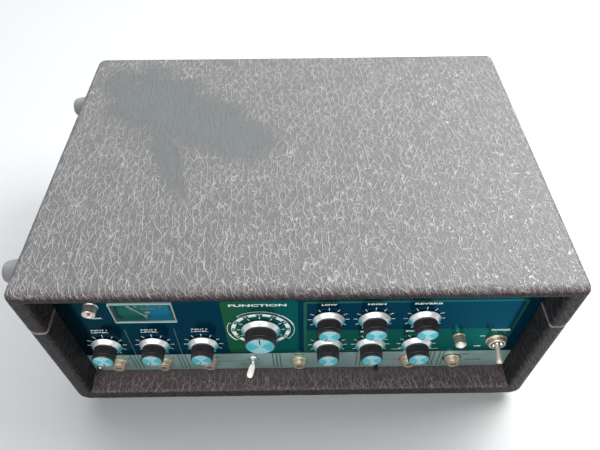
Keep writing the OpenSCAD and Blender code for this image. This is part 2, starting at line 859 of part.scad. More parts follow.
module transformer() {
    color([0.45, 0.35, 0.25]) translate([135, 62, inner_z]) {
        plate(54, 46, 46);
        translate([0, 0, 8]) difference() {
            plate(50, 66, 30);
            translate([0, 0, -cut]) plate(52, 46, 32);
        }
    }
}

module circuit_board() {
    board_z = inner_z + 11;
    color([0.1, 0.35, 0.2]) {
        translate([-75, -48, board_z]) plate(190, 76, 1.6);
        for (x = [-160, 10], y = [-78, -18]) translate([x, y, inner_z]) cylinder(r = 3, h = 11);
    }
    color([0.2, 0.2, 0.5]) for (k = [0 : 8])
        translate([-155 + 20 * k, -30 - 12 * (k % 3), board_z + 1.6]) cylinder(r = 4 + k % 2, h = 12);
}

module reverb_tank() {
    color([0.7, 0.7, 0.72]) translate([-70, 66, inner_z]) difference() {
        plate(220, 62, 26);
        translate([0, 0, 2]) plate(214, 56, 30);
    }
}

// ---------------------------------------------------------------- assembly

case_base();
lid();
lid_boards();
feet_base();
feet_lid();
foot_screws_base();
foot_screws_lid();
handle_grip();
handle_ends();
handle_caps();
handle_screws();
catch_studs();
chassis();
front_panel();
rear_panel();
panel_screws();
for (k = SMALL_KNOBS) small_knob(k);
knob_mode();
potentiometers();
mode_switch();
panel_nuts();
jacks();
vu_case();
vu_dial();
vu_lens();
vu_needle();
peak_lamp();
pilot_lamp();
pilot_lens();
power_switch();
power_toggle();
panel_switches();
level_lever();
cancel_lever();
output_slider();
fuse_holder();
cord_gland();
deck_plate();
tape_cover();
tape_loop();
tape_guides();
heads();
head_block();
capstan();
motor();
motor_pulley();
drive_belt();
pinch_arm();
pinch_roller();
transformer();
circuit_board();
reverb_tank();
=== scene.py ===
"""Looks of the tape echo unit: vinyl case, control panel, knobs, lamps and tape deck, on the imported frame."""
import json
import math

import bmesh
import bpy
import numpy as np
from mathutils import Matrix, Vector
from mathutils.geometry import tessellate_polygon


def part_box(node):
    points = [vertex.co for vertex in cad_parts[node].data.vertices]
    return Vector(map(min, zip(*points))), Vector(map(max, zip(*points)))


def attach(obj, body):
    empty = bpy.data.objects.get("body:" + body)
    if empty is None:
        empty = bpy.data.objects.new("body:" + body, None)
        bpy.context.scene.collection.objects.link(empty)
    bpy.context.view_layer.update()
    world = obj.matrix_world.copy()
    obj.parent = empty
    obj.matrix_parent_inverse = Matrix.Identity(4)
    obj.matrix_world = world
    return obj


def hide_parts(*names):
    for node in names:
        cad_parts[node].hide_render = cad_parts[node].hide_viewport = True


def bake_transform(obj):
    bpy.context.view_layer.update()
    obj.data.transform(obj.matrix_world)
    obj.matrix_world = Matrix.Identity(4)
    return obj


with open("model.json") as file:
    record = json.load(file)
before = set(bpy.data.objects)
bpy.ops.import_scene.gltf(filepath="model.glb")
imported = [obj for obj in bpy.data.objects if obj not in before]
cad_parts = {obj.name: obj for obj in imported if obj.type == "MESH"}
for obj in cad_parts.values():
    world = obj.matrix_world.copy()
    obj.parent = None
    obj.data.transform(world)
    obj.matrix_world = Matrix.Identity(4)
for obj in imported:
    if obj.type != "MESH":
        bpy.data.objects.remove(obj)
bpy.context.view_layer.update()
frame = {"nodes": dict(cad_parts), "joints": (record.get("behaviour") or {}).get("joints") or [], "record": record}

MM = 0.001
nodes = frame["nodes"]
joints = {j["name"]: j for j in frame["joints"]}


def node_box(name):
    """Lowest and highest corner of a CAD node as two vectors, in metres."""
    low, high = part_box(name)
    return Vector(low), Vector(high)


def middle(name):
    return sum(node_box(name), Vector()) / 2


def add_object(name, data):
    made = bpy.data.objects.new(name, data)
    bpy.context.scene.collection.objects.link(made)
    return made


def evaluated_mesh(made):
    return bpy.data.meshes.new_from_object(made.evaluated_get(bpy.context.evaluated_depsgraph_get()))


# Heights and planes that many pieces share, all read from the frame
base_low, base_high = node_box("case_base")
lid_high = node_box("lid")[1]
panel_low, panel_high = node_box("front_panel")
board_high = node_box("lid_boards")[1]
face_y = panel_low.y
back_y = node_box("rear_panel")[1].y
seam_z = base_high.z

# ------------------------------------------------------------------ materials


class Tree:
    """A short way to write a material's nodes."""

    def __init__(self, tree):
        self.tree = tree

    def node(self, kind, *inputs, **values):
        made = self.tree.nodes.new(kind)
        for key, value in values.items():
            setattr(made, key, value)
        for socket, value in zip(made.inputs, inputs):
            self.put(socket, value)
        return made

    def put(self, socket, value):
        if hasattr(value, "is_output"):
            self.tree.links.new(value, socket)
        else:
            socket.default_value = value

    def maths(self, operation, a, b=0.0):
        return self.node("ShaderNodeMath", a, b, operation=operation).outputs[0]

    def times(self, a, b):
        return self.maths("MULTIPLY", a, b)

    def vector(self, operation, a, b=(0, 0, 0)):
        made = self.node("ShaderNodeVectorMath", a, b, operation=operation)
        return made.outputs["Value" if operation in ("LENGTH", "DOT_PRODUCT") else "Vector"]

    def noise(self, where, scale, detail=2.0, roughness=0.5, output=0):
        made = self.node("ShaderNodeTexNoise")
        for key, value in (("Vector", where), ("Scale", scale), ("Detail", detail), ("Roughness", roughness)):
            self.put(made.inputs[key], value)
        return made.outputs[output]

    def cells(self, where, feature="DISTANCE_TO_EDGE", randomness=1.0):
        made = self.node("ShaderNodeTexVoronoi", feature=feature)
        for key, value in (("Vector", where), ("Scale", 1.0), ("Randomness", randomness)):
            self.put(made.inputs[key], value)
        return made.outputs["Distance"]

    def span(self, value, low, high, out_low=0.0, out_high=1.0, smooth=False):
        kind = "SMOOTHSTEP" if smooth else "LINEAR"
        made = self.node("ShaderNodeMapRange", value, low, high, out_low, out_high, interpolation_type=kind)
        return made.outputs[0]

    def split(self, vector):
        return self.node("ShaderNodeSeparateXYZ", vector).outputs

    def join(self, x, y, z):
        return self.node("ShaderNodeCombineXYZ", x, y, z).outputs[0]

    def mix(self, factor, a, b):
        made = self.node("ShaderNodeMix", data_type="RGBA")
        self.put(made.inputs["Factor"], factor)
        self.put(made.inputs[6], rgba(a))
        self.put(made.inputs[7], rgba(b))
        return made.outputs[2]


def rgba(value):
    """A colour with its alpha, or a socket as it is."""
    if hasattr(value, "is_output"):
        return value
    return (*value[:3], 1.0)


class Surface(Tree):
    """A node material around one Principled shader."""

    def __init__(self, name, **values):
        self.material = bpy.data.materials.new(name)
        self.material.use_nodes = True
        super().__init__(self.material.node_tree)
        self.shader = self.tree.nodes["Principled BSDF"]
        self.place = self.node("ShaderNodeTexCoord").outputs["Object"]
        self.set(**values)

    def set(self, **values):
        for key, value in values.items():
            socket = self.shader.inputs[key.replace("_", " ")]
            is_colour = socket.type == "RGBA"
            self.put(socket, rgba(value) if is_colour else value)

    def bump(self, height, distance):
        made = self.node("ShaderNodeBump")
        for key, value in (("Height", height), ("Distance", distance), ("Strength", 1.0)):
            self.put(made.inputs[key], value)
        self.put(self.shader.inputs["Normal"], made.outputs[0])


# Vinyl grain: raised ridges that wander from front to back, slanted links between them and a fine net
RIDGES = (        # turn from front-to-back in degrees, ridges a metre, sway and width in ridges, height
    (4.0, 205.0, 1.7, 0.088, 1.0),
    (-26.0, 165.0, 1.5, 0.070, 0.85),
    (32.0, 140.0, 1.5, 0.064, 0.80),
)
SWAY_PER_M = 48.0
FADE_PER_M = (200.0, 45.0, 200.0)
NET_PER_M = (400.0, 230.0, 380.0)
NET_WIDTH, NET_HEIGHT = 0.14, 0.60
GRAIN_HEIGHT = 0.00078
MESH_SHARE = 0.32         # how much of that height the mesh itself has
SEAM_HIGHLIGHT = (0.0034, 0.0018, 0.00085)   # a painted highlight on the base's rounded edge starts, is full and ends this far below the seam
TOP_SHEEN_BAND = (0.012, 0.004)     # the dust colour and painted sheen of the lid's top, and its painted ridge highlights, start and are full this far below its top
SILL_BAND = (0.024, 0.006)    # painted highlights on the grain's ridges fade in between these distances from the front edge
DARK_PATCHES = (          # smooth, darker patches of the lid: x, y, direction in degrees, reach along and across
    (-0.128, 0.066, -42.0, 0.060, 0.036),
    (-0.068, 0.030, -38.0, 0.048, 0.026),
    (-0.113, -0.004, -68.0, 0.040, 0.010),
)


def dark_patch(tree, place):
    """1 in the smooth, darker patches of the lid's top and 0 away from them, with an uneven edge."""
    x, y, z = tree.split(place)
    edge = tree.maths("SUBTRACT", tree.noise(place, 42.0, 3.0), 0.5)
    patch = 0.0
    for cx, cy, degrees, along, across in DARK_PATCHES:
        c, s = math.cos(math.radians(degrees)), math.sin(math.radians(degrees))
        from_middle = tree.vector("SUBTRACT", place, (cx, cy, 0.0))
        u = tree.vector("DOT_PRODUCT", from_middle, (c / along, s / along, 0.0))
        v = tree.vector("DOT_PRODUCT", from_middle, (-s / across, c / across, 0.0))
        r = tree.maths("ADD", tree.vector("LENGTH", tree.join(u, v, 0.0)), tree.times(edge, 1.5))
        patch = tree.maths("MAXIMUM", patch, tree.span(r, 1.6, 0.5, smooth=True))
    return tree.times(patch, tree.maths("GREATER_THAN", z, lid_high.z - 0.004))


def ridges(tree, place, sway, turn, per_m, bend, width, height):
    """Long raised lines that wander and fade in and out."""
    c, s = math.cos(math.radians(turn)), math.sin(math.radians(turn))
    across = tree.vector("DOT_PRODUCT", place, (c * per_m, s * per_m, 0.6 * per_m))
    across = tree.maths("ADD", across, tree.times(sway, bend))
    away = tree.maths("PINGPONG", across, 0.5)
    where = tree.vector("ADD", tree.vector("MULTIPLY", place, FADE_PER_M), (turn, per_m, 0.0))
    fade = tree.span(tree.noise(where, 1.0, 1.0), 0.36, 0.52, smooth=True)
    line = tree.span(away, 0.0, width, height, 0.0, smooth=True)
    return tree.times(line, fade)


def hide_grain(tree, place, wide=1.0):
    """Height of the vinyl's grain, about 0 to 1, for a material or for a mesh."""
    sways = tree.split(tree.noise(place, SWAY_PER_M, 2.0, output="Color"))
    bent = tree.vector("ADD", tree.vector("MULTIPLY", place, NET_PER_M),
                       tree.noise(place, 260.0, 1.0, output="Color"))
    net = tree.span(tree.cells(bent), 0.0, NET_WIDTH * wide, NET_HEIGHT, 0.0, smooth=True)
    height = tree.times(net, tree.span(tree.noise(place, 170.0, 1.0), 0.35, 0.62, 0.35, 1.0))
    for sway, (turn, per_m, bend, width, high) in zip(sways, RIDGES):
        lines = ridges(tree, place, sway, turn, per_m, bend, width * wide, high)
        height = tree.maths("MAXIMUM", height, lines)
    pores = tree.noise(place, 1500.0, 2.0)
    swell = tree.noise(place, 150.0, 2.0)
    height = tree.maths("ADD", tree.times(height, 0.8), tree.times(pores, 0.06))
    height = tree.maths("ADD", height, tree.times(swell, 0.12))
    calm = tree.span(dark_patch(tree, place), 0.0, 1.0, 1.0, 0.3)
    return tree.times(height, calm)


def vinyl_material():
    s = Surface("vinyl", Roughness=0.5)
    height = hide_grain(s, s.place)
    patch = dark_patch(s, s.place)
    cloud = s.noise(s.place, 9.0, 4.0)
    facing = s.split(s.node("ShaderNodeNewGeometry").outputs["Normal"])[2]
    # Faces turned upwards are painted lighter: partly dust, partly painted light from above.
    upward = s.span(facing, 0.2, 0.9, smooth=True)
    dark = s.mix(upward, (0.016, 0.014, 0.016), (0.084, 0.066, 0.070))
    dark = s.mix(s.times(cloud, 0.5), dark, (0.020, 0.016, 0.018))
    depth, up = s.split(s.place)[1:]
    # Pale band on the up-facing rounding of the base's edge just below the seam: a painted highlight.
    rim_low, rim_full, rim_end = (seam_z - down for down in SEAM_HIGHLIGHT)
    rim = s.times(s.span(up, rim_low, rim_full), s.maths("LESS_THAN", up, rim_end))
    dark = s.mix(s.times(rim, s.span(facing, 0.25, 0.6)), dark, (0.260, 0.210, 0.213))
    # The lid's top turns greyer: part dust, part painted sheen.
    lid_top = s.times(s.span(facing, 0.64, 0.98, smooth=True),
                      s.span(up, lid_high.z - TOP_SHEEN_BAND[0], lid_high.z - TOP_SHEEN_BAND[1], smooth=True))
    dust_and_sheen = s.mix(lid_top, dark, (0.060, 0.060, 0.062))
    # The grain's ridges are painted lighter than its valleys: painted highlights, strongest on up-facing faces
    # near the front edge and on the lid's top.
    near_edge = s.span(depth, -lid_high.y + SILL_BAND[0], -lid_high.y + SILL_BAND[1], 0.30, 1.0, smooth=True)
    ridge_highlight = s.mix(s.times(upward, near_edge), (0.075, 0.066, 0.071), (0.420, 0.340, 0.350))
    top_ridge_highlight = s.mix(lid_top, ridge_highlight, (0.280, 0.269, 0.267))
    # tips: the valley colour, with the ridges' painted highlights mixed in by the grain's height.
    tips = s.mix(s.span(height, 0.25, 0.85), dust_and_sheen, top_ridge_highlight)
    # The patches are coloured darker and greener.
    s.set(Base_Color=s.mix(s.times(patch, 0.7), tips, (0.030, 0.040, 0.040)))
    rough = s.span(s.noise(s.place, 420.0, 2.0), 0.3, 0.7, 0.48, 0.62)
    rough = s.maths("SUBTRACT", rough, s.span(height, 0.25, 0.8, 0.0, 0.10))
    shine = s.times(s.span(height, 0.2, 0.75, 0.44, 1.0), s.span(lid_top, 0.0, 1.0, 0.5, 1.0))
    s.set(Roughness=rough, Specular_IOR_Level=s.span(patch, 0.0, 1.0, shine, 0.62))
    s.bump(height, GRAIN_HEIGHT)
    return s.material


def metal_material(name, colour, rough, stretch=(1, 1, 1), grain=900.0, bump=0.00002, metallic=1.0):
    """Metal with a brushed or a plain grain, stretched along an axis, and faint stains."""
    s = Surface(name, Metallic=metallic)
    where = s.vector("MULTIPLY", s.place, stretch)
    hair = s.noise(where, grain, 3.0, 0.6)
    stain = s.noise(s.place, 45.0, 3.0)
    darker = [c * 0.72 for c in colour]
    s.set(Base_Color=s.mix(s.span(stain, 0.35, 0.75), colour, darker))
    s.set(Roughness=s.span(hair, 0.25, 0.75, rough * 0.7, rough * 1.35))
    s.bump(hair, bump)
    return s.material


def plastic_material(name, colour, rough, grain=2600.0, bump=0.00003, coat=0.0, spread=0.25, shine=0.5,
                     painted_glow=0.0):
    """Moulded plastic, rubber or paint with a fine grain and slight shade changes."""
    s = Surface(name)
    fine = s.noise(s.place, grain, 2.0)
    broad = s.noise(s.place, 60.0, 3.0)
    low = [c * (1 - spread) for c in colour]
    high = [c * (1 + spread) for c in colour]
    s.set(Base_Color=s.mix(broad, low, high))
    s.set(Roughness=s.span(fine, 0.3, 0.7, rough * 0.85, min(1.0, rough * 1.15)))
    # Emission, where set, is painted light: these plastic parts are no lamps.
    s.set(Coat_Weight=coat, Specular_IOR_Level=shine, Emission_Color=colour, Emission_Strength=painted_glow)
    s.bump(fine, bump)
    return s.material


def spun_material(name, bright, tint, rough, lines=4200.0, side_reflections=False):
    """Turned aluminium with fine rings round its own axis. Its tint is a painted reflection: it shows in two side
    wedges with a painted highlight between them, or low down.
    """
    s = Surface(name, Metallic=0.72)
    x, y, z = s.split(s.place)
    radius = s.vector("LENGTH", s.join(x, 0.0, z))
    rings = s.noise(s.join(radius, 0.0, 0.0), lines, 2.0, 0.7)
    if side_reflections:
        sideways = s.maths("DIVIDE", s.maths("ABSOLUTE", x), s.maths("ADD", radius, 0.0004))
        reflection_share = s.span(sideways, 0.50, 0.86, smooth=True)
    else:
        reflection_share = s.span(z, 0.007, -0.001, smooth=True)
    tone = s.noise(s.place, 150.0, 2.0)
    base = s.mix(reflection_share, bright, tint)
    s.set(Base_Color=s.mix(s.times(tone, 0.25), base, [c * 0.7 for c in tint]))
    s.set(Roughness=s.span(rings, 0.2, 0.8, rough * 0.75, rough * 1.3))
    s.set(Anisotropic=0.75)
    tangent = s.node("ShaderNodeTangent", direction_type="RADIAL", axis="Y")
    s.put(s.shader.inputs["Tangent"], tangent.outputs[0])
    s.bump(rings, 0.000012)
    return s.material


def glow_material(name, colour, strength):
    """A lamp's glass, faintly lit."""
    s = Surface(name)
    edge = s.noise(s.place, 400.0, 2.0)
    s.set(Base_Color=s.mix(edge, colour, [c * 0.8 for c in colour]), Roughness=0.2)
    s.set(Emission_Color=colour, Emission_Strength=strength, Coat_Weight=0.5)
    return s.material


def clear_material(name, tint):
    """Clear acrylic with faint haze scratches."""
    s = Surface(name, Transmission_Weight=1.0, IOR=1.10, Specular_Tint=CYAN_REFLECTION_TINT)
    haze = s.noise(s.place, 700.0, 3.0)
    s.set(Base_Color=s.mix(haze, tint, [min(1.0, c * 1.05) for c in tint]))
    s.set(Roughness=s.span(haze, 0.4, 0.8, 0.03, 0.09))
    return s.material


def board_material(name, colour):
    """Circuit board with faint copper tracks under the lacquer."""
    s = Surface(name, Roughness=0.45)
    where = s.vector("MULTIPLY", s.place, (260.0, 260.0, 260.0))
    tracks = s.cells(where, "F1", 0.6)
    s.set(Base_Color=s.mix(s.span(tracks, 0.38, 0.46), colour, [c * 1.7 for c in colour]))
    s.bump(tracks, 0.00005)
    return s.material


NAVY = (0.0014, 0.037, 0.078)
TEAL_NAVY = (0.002, 0.017, 0.028)
GREEN = (0.024, 0.125, 0.042)
TEAL_GREEN = (0.003, 0.115, 0.110)
# Cyan tint on the inks' and the acrylic's reflections: a painted reflection of cyan surroundings.
CYAN_REFLECTION_TINT = (0.30, 0.90, 1.0)
STRIP = (0.32, 0.48, 0.46)


def ink_material(name, left, right, x_from, x_to, rough=0.13, metallic=0.62, behind=None):
    """Glossy screen printed paint that shifts slowly from one shade to another along the panel."""
    s = Surface(name, Metallic=metallic, Specular_Tint=CYAN_REFLECTION_TINT)
    x, y, z = s.split(s.place)
    drift = s.maths("ADD", x, s.times(s.noise(s.place, 14.0, 2.0), 0.05))
    mesh_marks = s.noise(s.place, 3000.0, 2.0)
    shade = s.mix(s.span(drift, x_from, x_to, smooth=True), left, right)
    if behind:
        shade = s.mix(s.maths("GREATER_THAN", y, 0.0), shade, behind)
    s.set(Base_Color=s.mix(s.span(mesh_marks, 0.3, 0.8, 0.0, 0.3), shade, [c * 0.6 for c in left]))
    s.set(Roughness=s.span(mesh_marks, 0.3, 0.7, rough * 0.8, rough * 1.25), Specular_IOR_Level=0.03)
    s.bump(mesh_marks, 0.00001)
    return s.material


MATERIALS = {"vinyl": vinyl_material()}
BOARD_END = (-0.17, -0.06)    # where the panel's left shade ends and its right shade begins
MODE_END = (-0.045, 0.01)
TONE_END = (0.0, 0.17)
INKS = {        # left shade, right shade, where one passes into the other
    "panel": (TEAL_NAVY, NAVY, BOARD_END, {}),
    "lid_board": (TEAL_NAVY, NAVY, BOARD_END, {"rough": 0.3, "behind": (0.012, 0.013, 0.014)}),
    "green": (GREEN, TEAL_GREEN, MODE_END, {}),
    "green_tone": ((0.012, 0.115, 0.070), (0.006, 0.112, 0.095), TONE_END, {}),
    "outline": ((0.035, 0.15, 0.09), (0.02, 0.12, 0.11), TONE_END, {}),
    "blue": (NAVY, (0.0015, 0.044, 0.088), TONE_END, {}),
    # The dial's colours are raised to stand in for light in the meter's shaded recess: painted light. The meter's
    # liner uses them too.
    "dial": ((0.003, 0.125, 0.105), (0.003, 0.170, 0.290), (-0.098, -0.084), {"rough": 0.4, "metallic": 0.0}),
}
FLAT = 0.000004               # grain of printed ink, in metres
PLASTICS = {    # colour, roughness, and what differs from plain moulded plastic
    "black_ink": ((0.004, 0.005, 0.006), 0.4, {"bump": FLAT, "shine": 0.08}),
    "white_ink": ((0.78, 0.80, 0.79), 0.45, {"bump": FLAT, "spread": 0.05}),
    "soft_white_ink": ((0.42, 0.46, 0.46), 0.45, {"bump": FLAT, "spread": 0.05}),
    "grey_ink": ((0.10, 0.14, 0.14), 0.45, {"bump": FLAT}),
    "dark_green_ink": ((0.01, 0.05, 0.03), 0.45, {"bump": FLAT}),
    "red_ink": ((0.42, 0.012, 0.02), 0.4, {"bump": FLAT}),
    "bright_green_ink": ((0.01, 0.30, 0.12), 0.4, {"bump": FLAT}),
    "grip": ((0.026, 0.023, 0.025), 0.42, {"grain": 1800.0, "bump": 0.00002}),
    # The white paddle glows: painted light, as it is no lamp.
    "white_plastic": ((0.93, 0.91, 0.84), 0.22, {"bump": 0.000006, "coat": 0.4, "spread": 0.03,
                                                 "painted_glow": 0.30}),
    "black_plastic": ((0.012, 0.012, 0.013), 0.35, {}),
    # Light grey: partly faded rubber, partly a painted sheen.
    "foot_rubber": ((0.17, 0.17, 0.18), 0.55, {"grain": 1500.0, "bump": 0.00006, "spread": 0.12}),
    "rubber": ((0.014, 0.014, 0.014), 0.62, {"grain": 1500.0, "bump": 0.00006}),
    "strap": ((0.016, 0.015, 0.015), 0.50, {"grain": 900.0, "bump": 0.00008}),
    "rear_paint": ((0.016, 0.017, 0.018), 0.55, {"grain": 900.0, "bump": 0.00012}),
    # Pale teal: the acrylic's edge tint, made pale as a painted highlight for the light its edges catch.
    "acrylic_edge": ((0.36, 0.55, 0.53), 0.18, {"bump": 0.000003, "coat": 0.8, "spread": 0.1}),
    "tape": ((0.060, 0.030, 0.018), 0.22, {"grain": 300.0, "bump": 0.00001, "coat": 0.5}),
    "block": ((0.02, 0.021, 0.023), 0.48, {}),
    "motor": ((0.085, 0.09, 0.095), 0.40, {"grain": 1200.0, "coat": 0.2}),
}
METALS = {      # colour, roughness, and what differs from plain metal
    "strip": (STRIP, 0.42, {"stretch": (0.06, 1, 1), "grain": 1600.0, "bump": 0.000012, "metallic": 0.55}),
    "chrome": ((0.86, 0.86, 0.85), 0.10, {"bump": 0.000003}),
    "steel": ((0.66, 0.66, 0.65), 0.28, {"bump": 0.00001}),
    "zinc": ((0.60, 0.62, 0.60), 0.38, {"stretch": (1, 0.1, 1), "grain": 700.0}),
    "brass": ((0.80, 0.67, 0.53), 0.36, {"bump": 0.00001, "metallic": 0.85}),
    "aged_nickel": ((0.84, 0.76, 0.63), 0.42, {"bump": 0.00001, "metallic": 0.6}),
    "satin": ((0.86, 0.82, 0.75), 0.34, {"bump": 0.00001, "metallic": 0.85}),
    "deck": ((0.58, 0.60, 0.61), 0.33, {"stretch": (0.05, 1, 1), "grain": 1200.0, "bump": 0.000015}),
    "head": ((0.74, 0.74, 0.73), 0.16, {"bump": FLAT}),
    "core": ((0.20, 0.15, 0.10), 0.45, {"stretch": (1, 1, 14), "grain": 90.0, "bump": 0.00006,
                                        "metallic": 0.4}),
}
for key, (left, right, ends, more) in INKS.items():
    MATERIALS[key] = ink_material(key, left, right, *ends, **more)
for kind, table in ((plastic_material, PLASTICS), (metal_material, METALS)):
    for key, (colour, rough, more) in table.items():
        MATERIALS[key] = kind(key, colour, rough, **more)
# The cyan in both is a painted reflection, and the cap's pale top and bottom are a painted highlight; the
# aluminium itself is silver.
MATERIALS["skirt"] = spun_material("skirt", (0.95, 0.93, 0.93), (0.12, 0.66, 0.78), 0.30, 3000.0)
MATERIALS["cap"] = spun_material("cap", (0.55, 0.90, 0.95), (0.08, 0.62, 0.76), 0.28, side_reflections=True)
MATERIALS["phenolic"] = board_material("phenolic", (0.23, 0.15, 0.06))
MATERIALS["acrylic"] = clear_material("acrylic", (0.93, 0.98, 0.98))
MATERIALS["lamp_white"] = glow_material("lamp_white", (0.86, 0.86, 0.80), 0.12)
MATERIALS["lamp_red"] = glow_material("lamp_red", (0.45, 0.01, 0.015), 0.10)

NODES_OF = {     # the CAD nodes that are shown as they are, by material
    "steel": "foot_screws_base foot_screws_lid handle_screws catch_studs panel_screws capstan pinch_arm",
    "chrome": "handle_caps peak_lamp pilot_lamp power_switch tape_guides",
    "zinc": "chassis potentiometers panel_switches reverb_tank",
    "black_plastic": "vu_case output_slider fuse_holder cord_gland",
    "brass": "panel_nuts jacks motor_pulley", "rubber": "drive_belt pinch_roller",
    "phenolic": "mode_switch circuit_board", "panel": "front_panel", "lid_board": "lid_boards",
    "rear_paint": "rear_panel", "dial": "vu_dial", "soft_white_ink": "vu_needle", "lamp_white": "pilot_lens",
    "deck": "deck_plate", "acrylic": "tape_cover", "tape": "tape_loop", "head": "heads",
    "block": "head_block", "motor": "motor", "core": "transformer",
}
for key, names in NODES_OF.items():
    for name in names.split():
        for slot in nodes[name].material_slots:
            slot.material = MATERIALS[key]

# ------------------------------------------------------------------ mesh helpers

AIMS = {        # direction out of the surface, then the two directions across it
    "front": ((0, -1, 0), (1, 0, 0), (0, 0, 1)),
    "back": ((0, 1, 0), (-1, 0, 0), (0, 0, 1)),
    "left": ((-1, 0, 0), (0, -1, 0), (0, 0, 1)),
    "right": ((1, 0, 0), (0, 1, 0), (0, 0, 1)),
    "down": ((0, 0, -1), (1, 0, 0), (0, -1, 0)),
    "up": ((0, 0, 1), (1, 0, 0), (0, 1, 0)),
}


def soften(line, radius, ring=False, steps=3):
    """Rounds the corners of a line of points. The ends stay sharp unless the line is a ring."""
    line = [Vector(p) for p in line]
    if radius <= 0:
        return line
    done = []
    for k, point in enumerate(line):
        if not ring and k in (0, len(line) - 1):
            done.append(point)
            continue
        to_before = line[k - 1] - point
        to_after = line[(k + 1) % len(line)] - point
        start = point + to_before.normalized() * min(radius, to_before.length * 0.45)
        end = point + to_after.normalized() * min(radius, to_after.length * 0.45)
        for s in range(steps + 1):
            t = s / steps
            done.append(start * (1 - t) ** 2 + point * (2 * t * (1 - t)) + end * t * t)
    return done


def circle(radius, count, middle_at=(0.0, 0.0)):
    turn = [2 * math.pi * k / count for k in range(count)]
    return [(middle_at[0] + radius * math.cos(a), middle_at[1] + radius * math.sin(a)) for a in turn]


def round_rect(width, height, radius, inset=0.0, steps=5, middle_at=(0.0, 0.0)):
    """Points of a rectangle with round corners, anticlockwise."""
    radius = max(radius - inset, 0.02)
    half_w, half_h = width / 2 - inset - radius, height / 2 - inset - radius
    points = []
    for k, (sx, sy) in enumerate(((1, 1), (-1, 1), (-1, -1), (1, -1))):
        for s in range(steps + 1):
            a = math.pi / 2 * (k + s / steps)
            points.append((middle_at[0] + sx * half_w + radius * math.cos(a),
                           middle_at[1] + sy * half_h + radius * math.sin(a)))
    return points


def tube_faces(loops, n):
    """Faces between neighbouring loops of n points each."""
    return [(k * n + i, k * n + (i + 1) % n, (k + 1) * n + (i + 1) % n, (k + 1) * n + i)
            for k in range(loops - 1) for i in range(n)]


class Build:
    """Collects the parts of one piece. Points are in millimetres from the piece's own place."""

    def __init__(self, name, place=(0, 0, 0)):
        self.name = name
        self.place = Vector(place)
        self.points, self.faces, self.which, self.keys = [], [], [], []

    def add(self, points, faces, material):
        start = len(self.points)
        self.points += points
        if material not in self.keys:
            self.keys.append(material)
        self.faces += [[start + i for i in face] for face in faces]
        self.which += [self.keys.index(material)] * len(faces)
        return self

    def lathe(self, profile, material, at=(0, 0, 0), aim="front", turns=48, soft=0.3,
              flutes=None, ring=False):
        """A turned part. The profile is radius and height, from the axis to the axis, or a closed ring."""
        out, right, up = (Vector(v) for v in AIMS[aim])
        points, rows = [], []
        for r, h in soften(profile, soft, ring):
            spot = Vector(at) + out * h
            if r < 1e-6:
                rows.append([len(points)] * turns)
                points.append(spot)
                continue
            rows.append(list(range(len(points), len(points) + turns)))
            for k in range(turns):
                a = 2 * math.pi * k / turns
                cut = 0.0
                if flutes and flutes[2] < h < flutes[3]:
                    cut = flutes[1] * (0.5 - 0.5 * math.cos(flutes[0] * a))
                points.append(spot + (right * math.cos(a) + up * math.sin(a)) * (r - cut))
        if ring:
            rows.append(rows[0])
        faces = []
        for a, b in zip(rows, rows[1:]):
            for k in range(turns):
                j = (k + 1) % turns
                face = list(dict.fromkeys((a[k], b[k], b[j], a[j])))
                if len(face) > 2:
                    faces.append(face)
        return self.add(points, faces, material)

    def stack(self, loops, material, at=(0, 0, 0), aim="front"):
        """A closed solid through loops of points at heights: each is (height, points across and up)."""
        out, right, up = (Vector(v) for v in AIMS[aim])
        points = [Vector(at) + out * h + right * x + up * y for h, loop in loops for x, y in loop]
        return self.tube(points, len(loops), material)

    def tube(self, points, loops, material):
        """A closed solid through loops of points that are given one after the other."""
        n = len(points) // loops
        ends = [range(k * n, k * n + n) for k in (0, loops - 1)]
        return self.add(points, ends + tube_faces(loops, n), material)

    def pillow(self, width, height, corner, low, high, dome, material, at=(0, 0, 0), aim="front"):
        """A rounded block whose outer edges curve over."""
        loops = [(low, round_rect(width, height, corner))]
        for s in range(5):
            a = math.pi / 2 * s / 4
            inset = dome * (1 - math.cos(a))
            loops.append((high - dome + dome * math.sin(a), round_rect(width, height, corner, inset)))
        return self.stack(loops, material, at, aim)

    def mesh(self, sharp):
        data = bpy.data.meshes.new(self.name)
        data.from_pydata([tuple(p * MM) for p in map(Vector, self.points)], [], self.faces)
        for key in self.keys:
            data.materials.append(MATERIALS[key])
        data.polygons.foreach_set("material_index", self.which)
        tidy_mesh(data, sharp)
        return data

    def make(self, body, *replaced, sharp=38, data=None):
        """Makes the object, or another object with the same mesh."""
        made = add_object(self.name, data or self.mesh(sharp))
        made.location = self.place
        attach(made, body)
        if replaced:
            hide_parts(*replaced)
        return made


def tidy_mesh(data, sharp):
    """Normals outwards, smooth faces, and sharp edges where the angle is wide."""
    work = bmesh.new()
    work.from_mesh(data)
    bmesh.ops.recalc_face_normals(work, faces=work.faces)
    work.to_mesh(data)
    work.free()
    data.shade_smooth()
    data.set_sharp_from_angle(angle=math.radians(sharp))
    data.update()


# ------------------------------------------------------------------ vinyl covered case

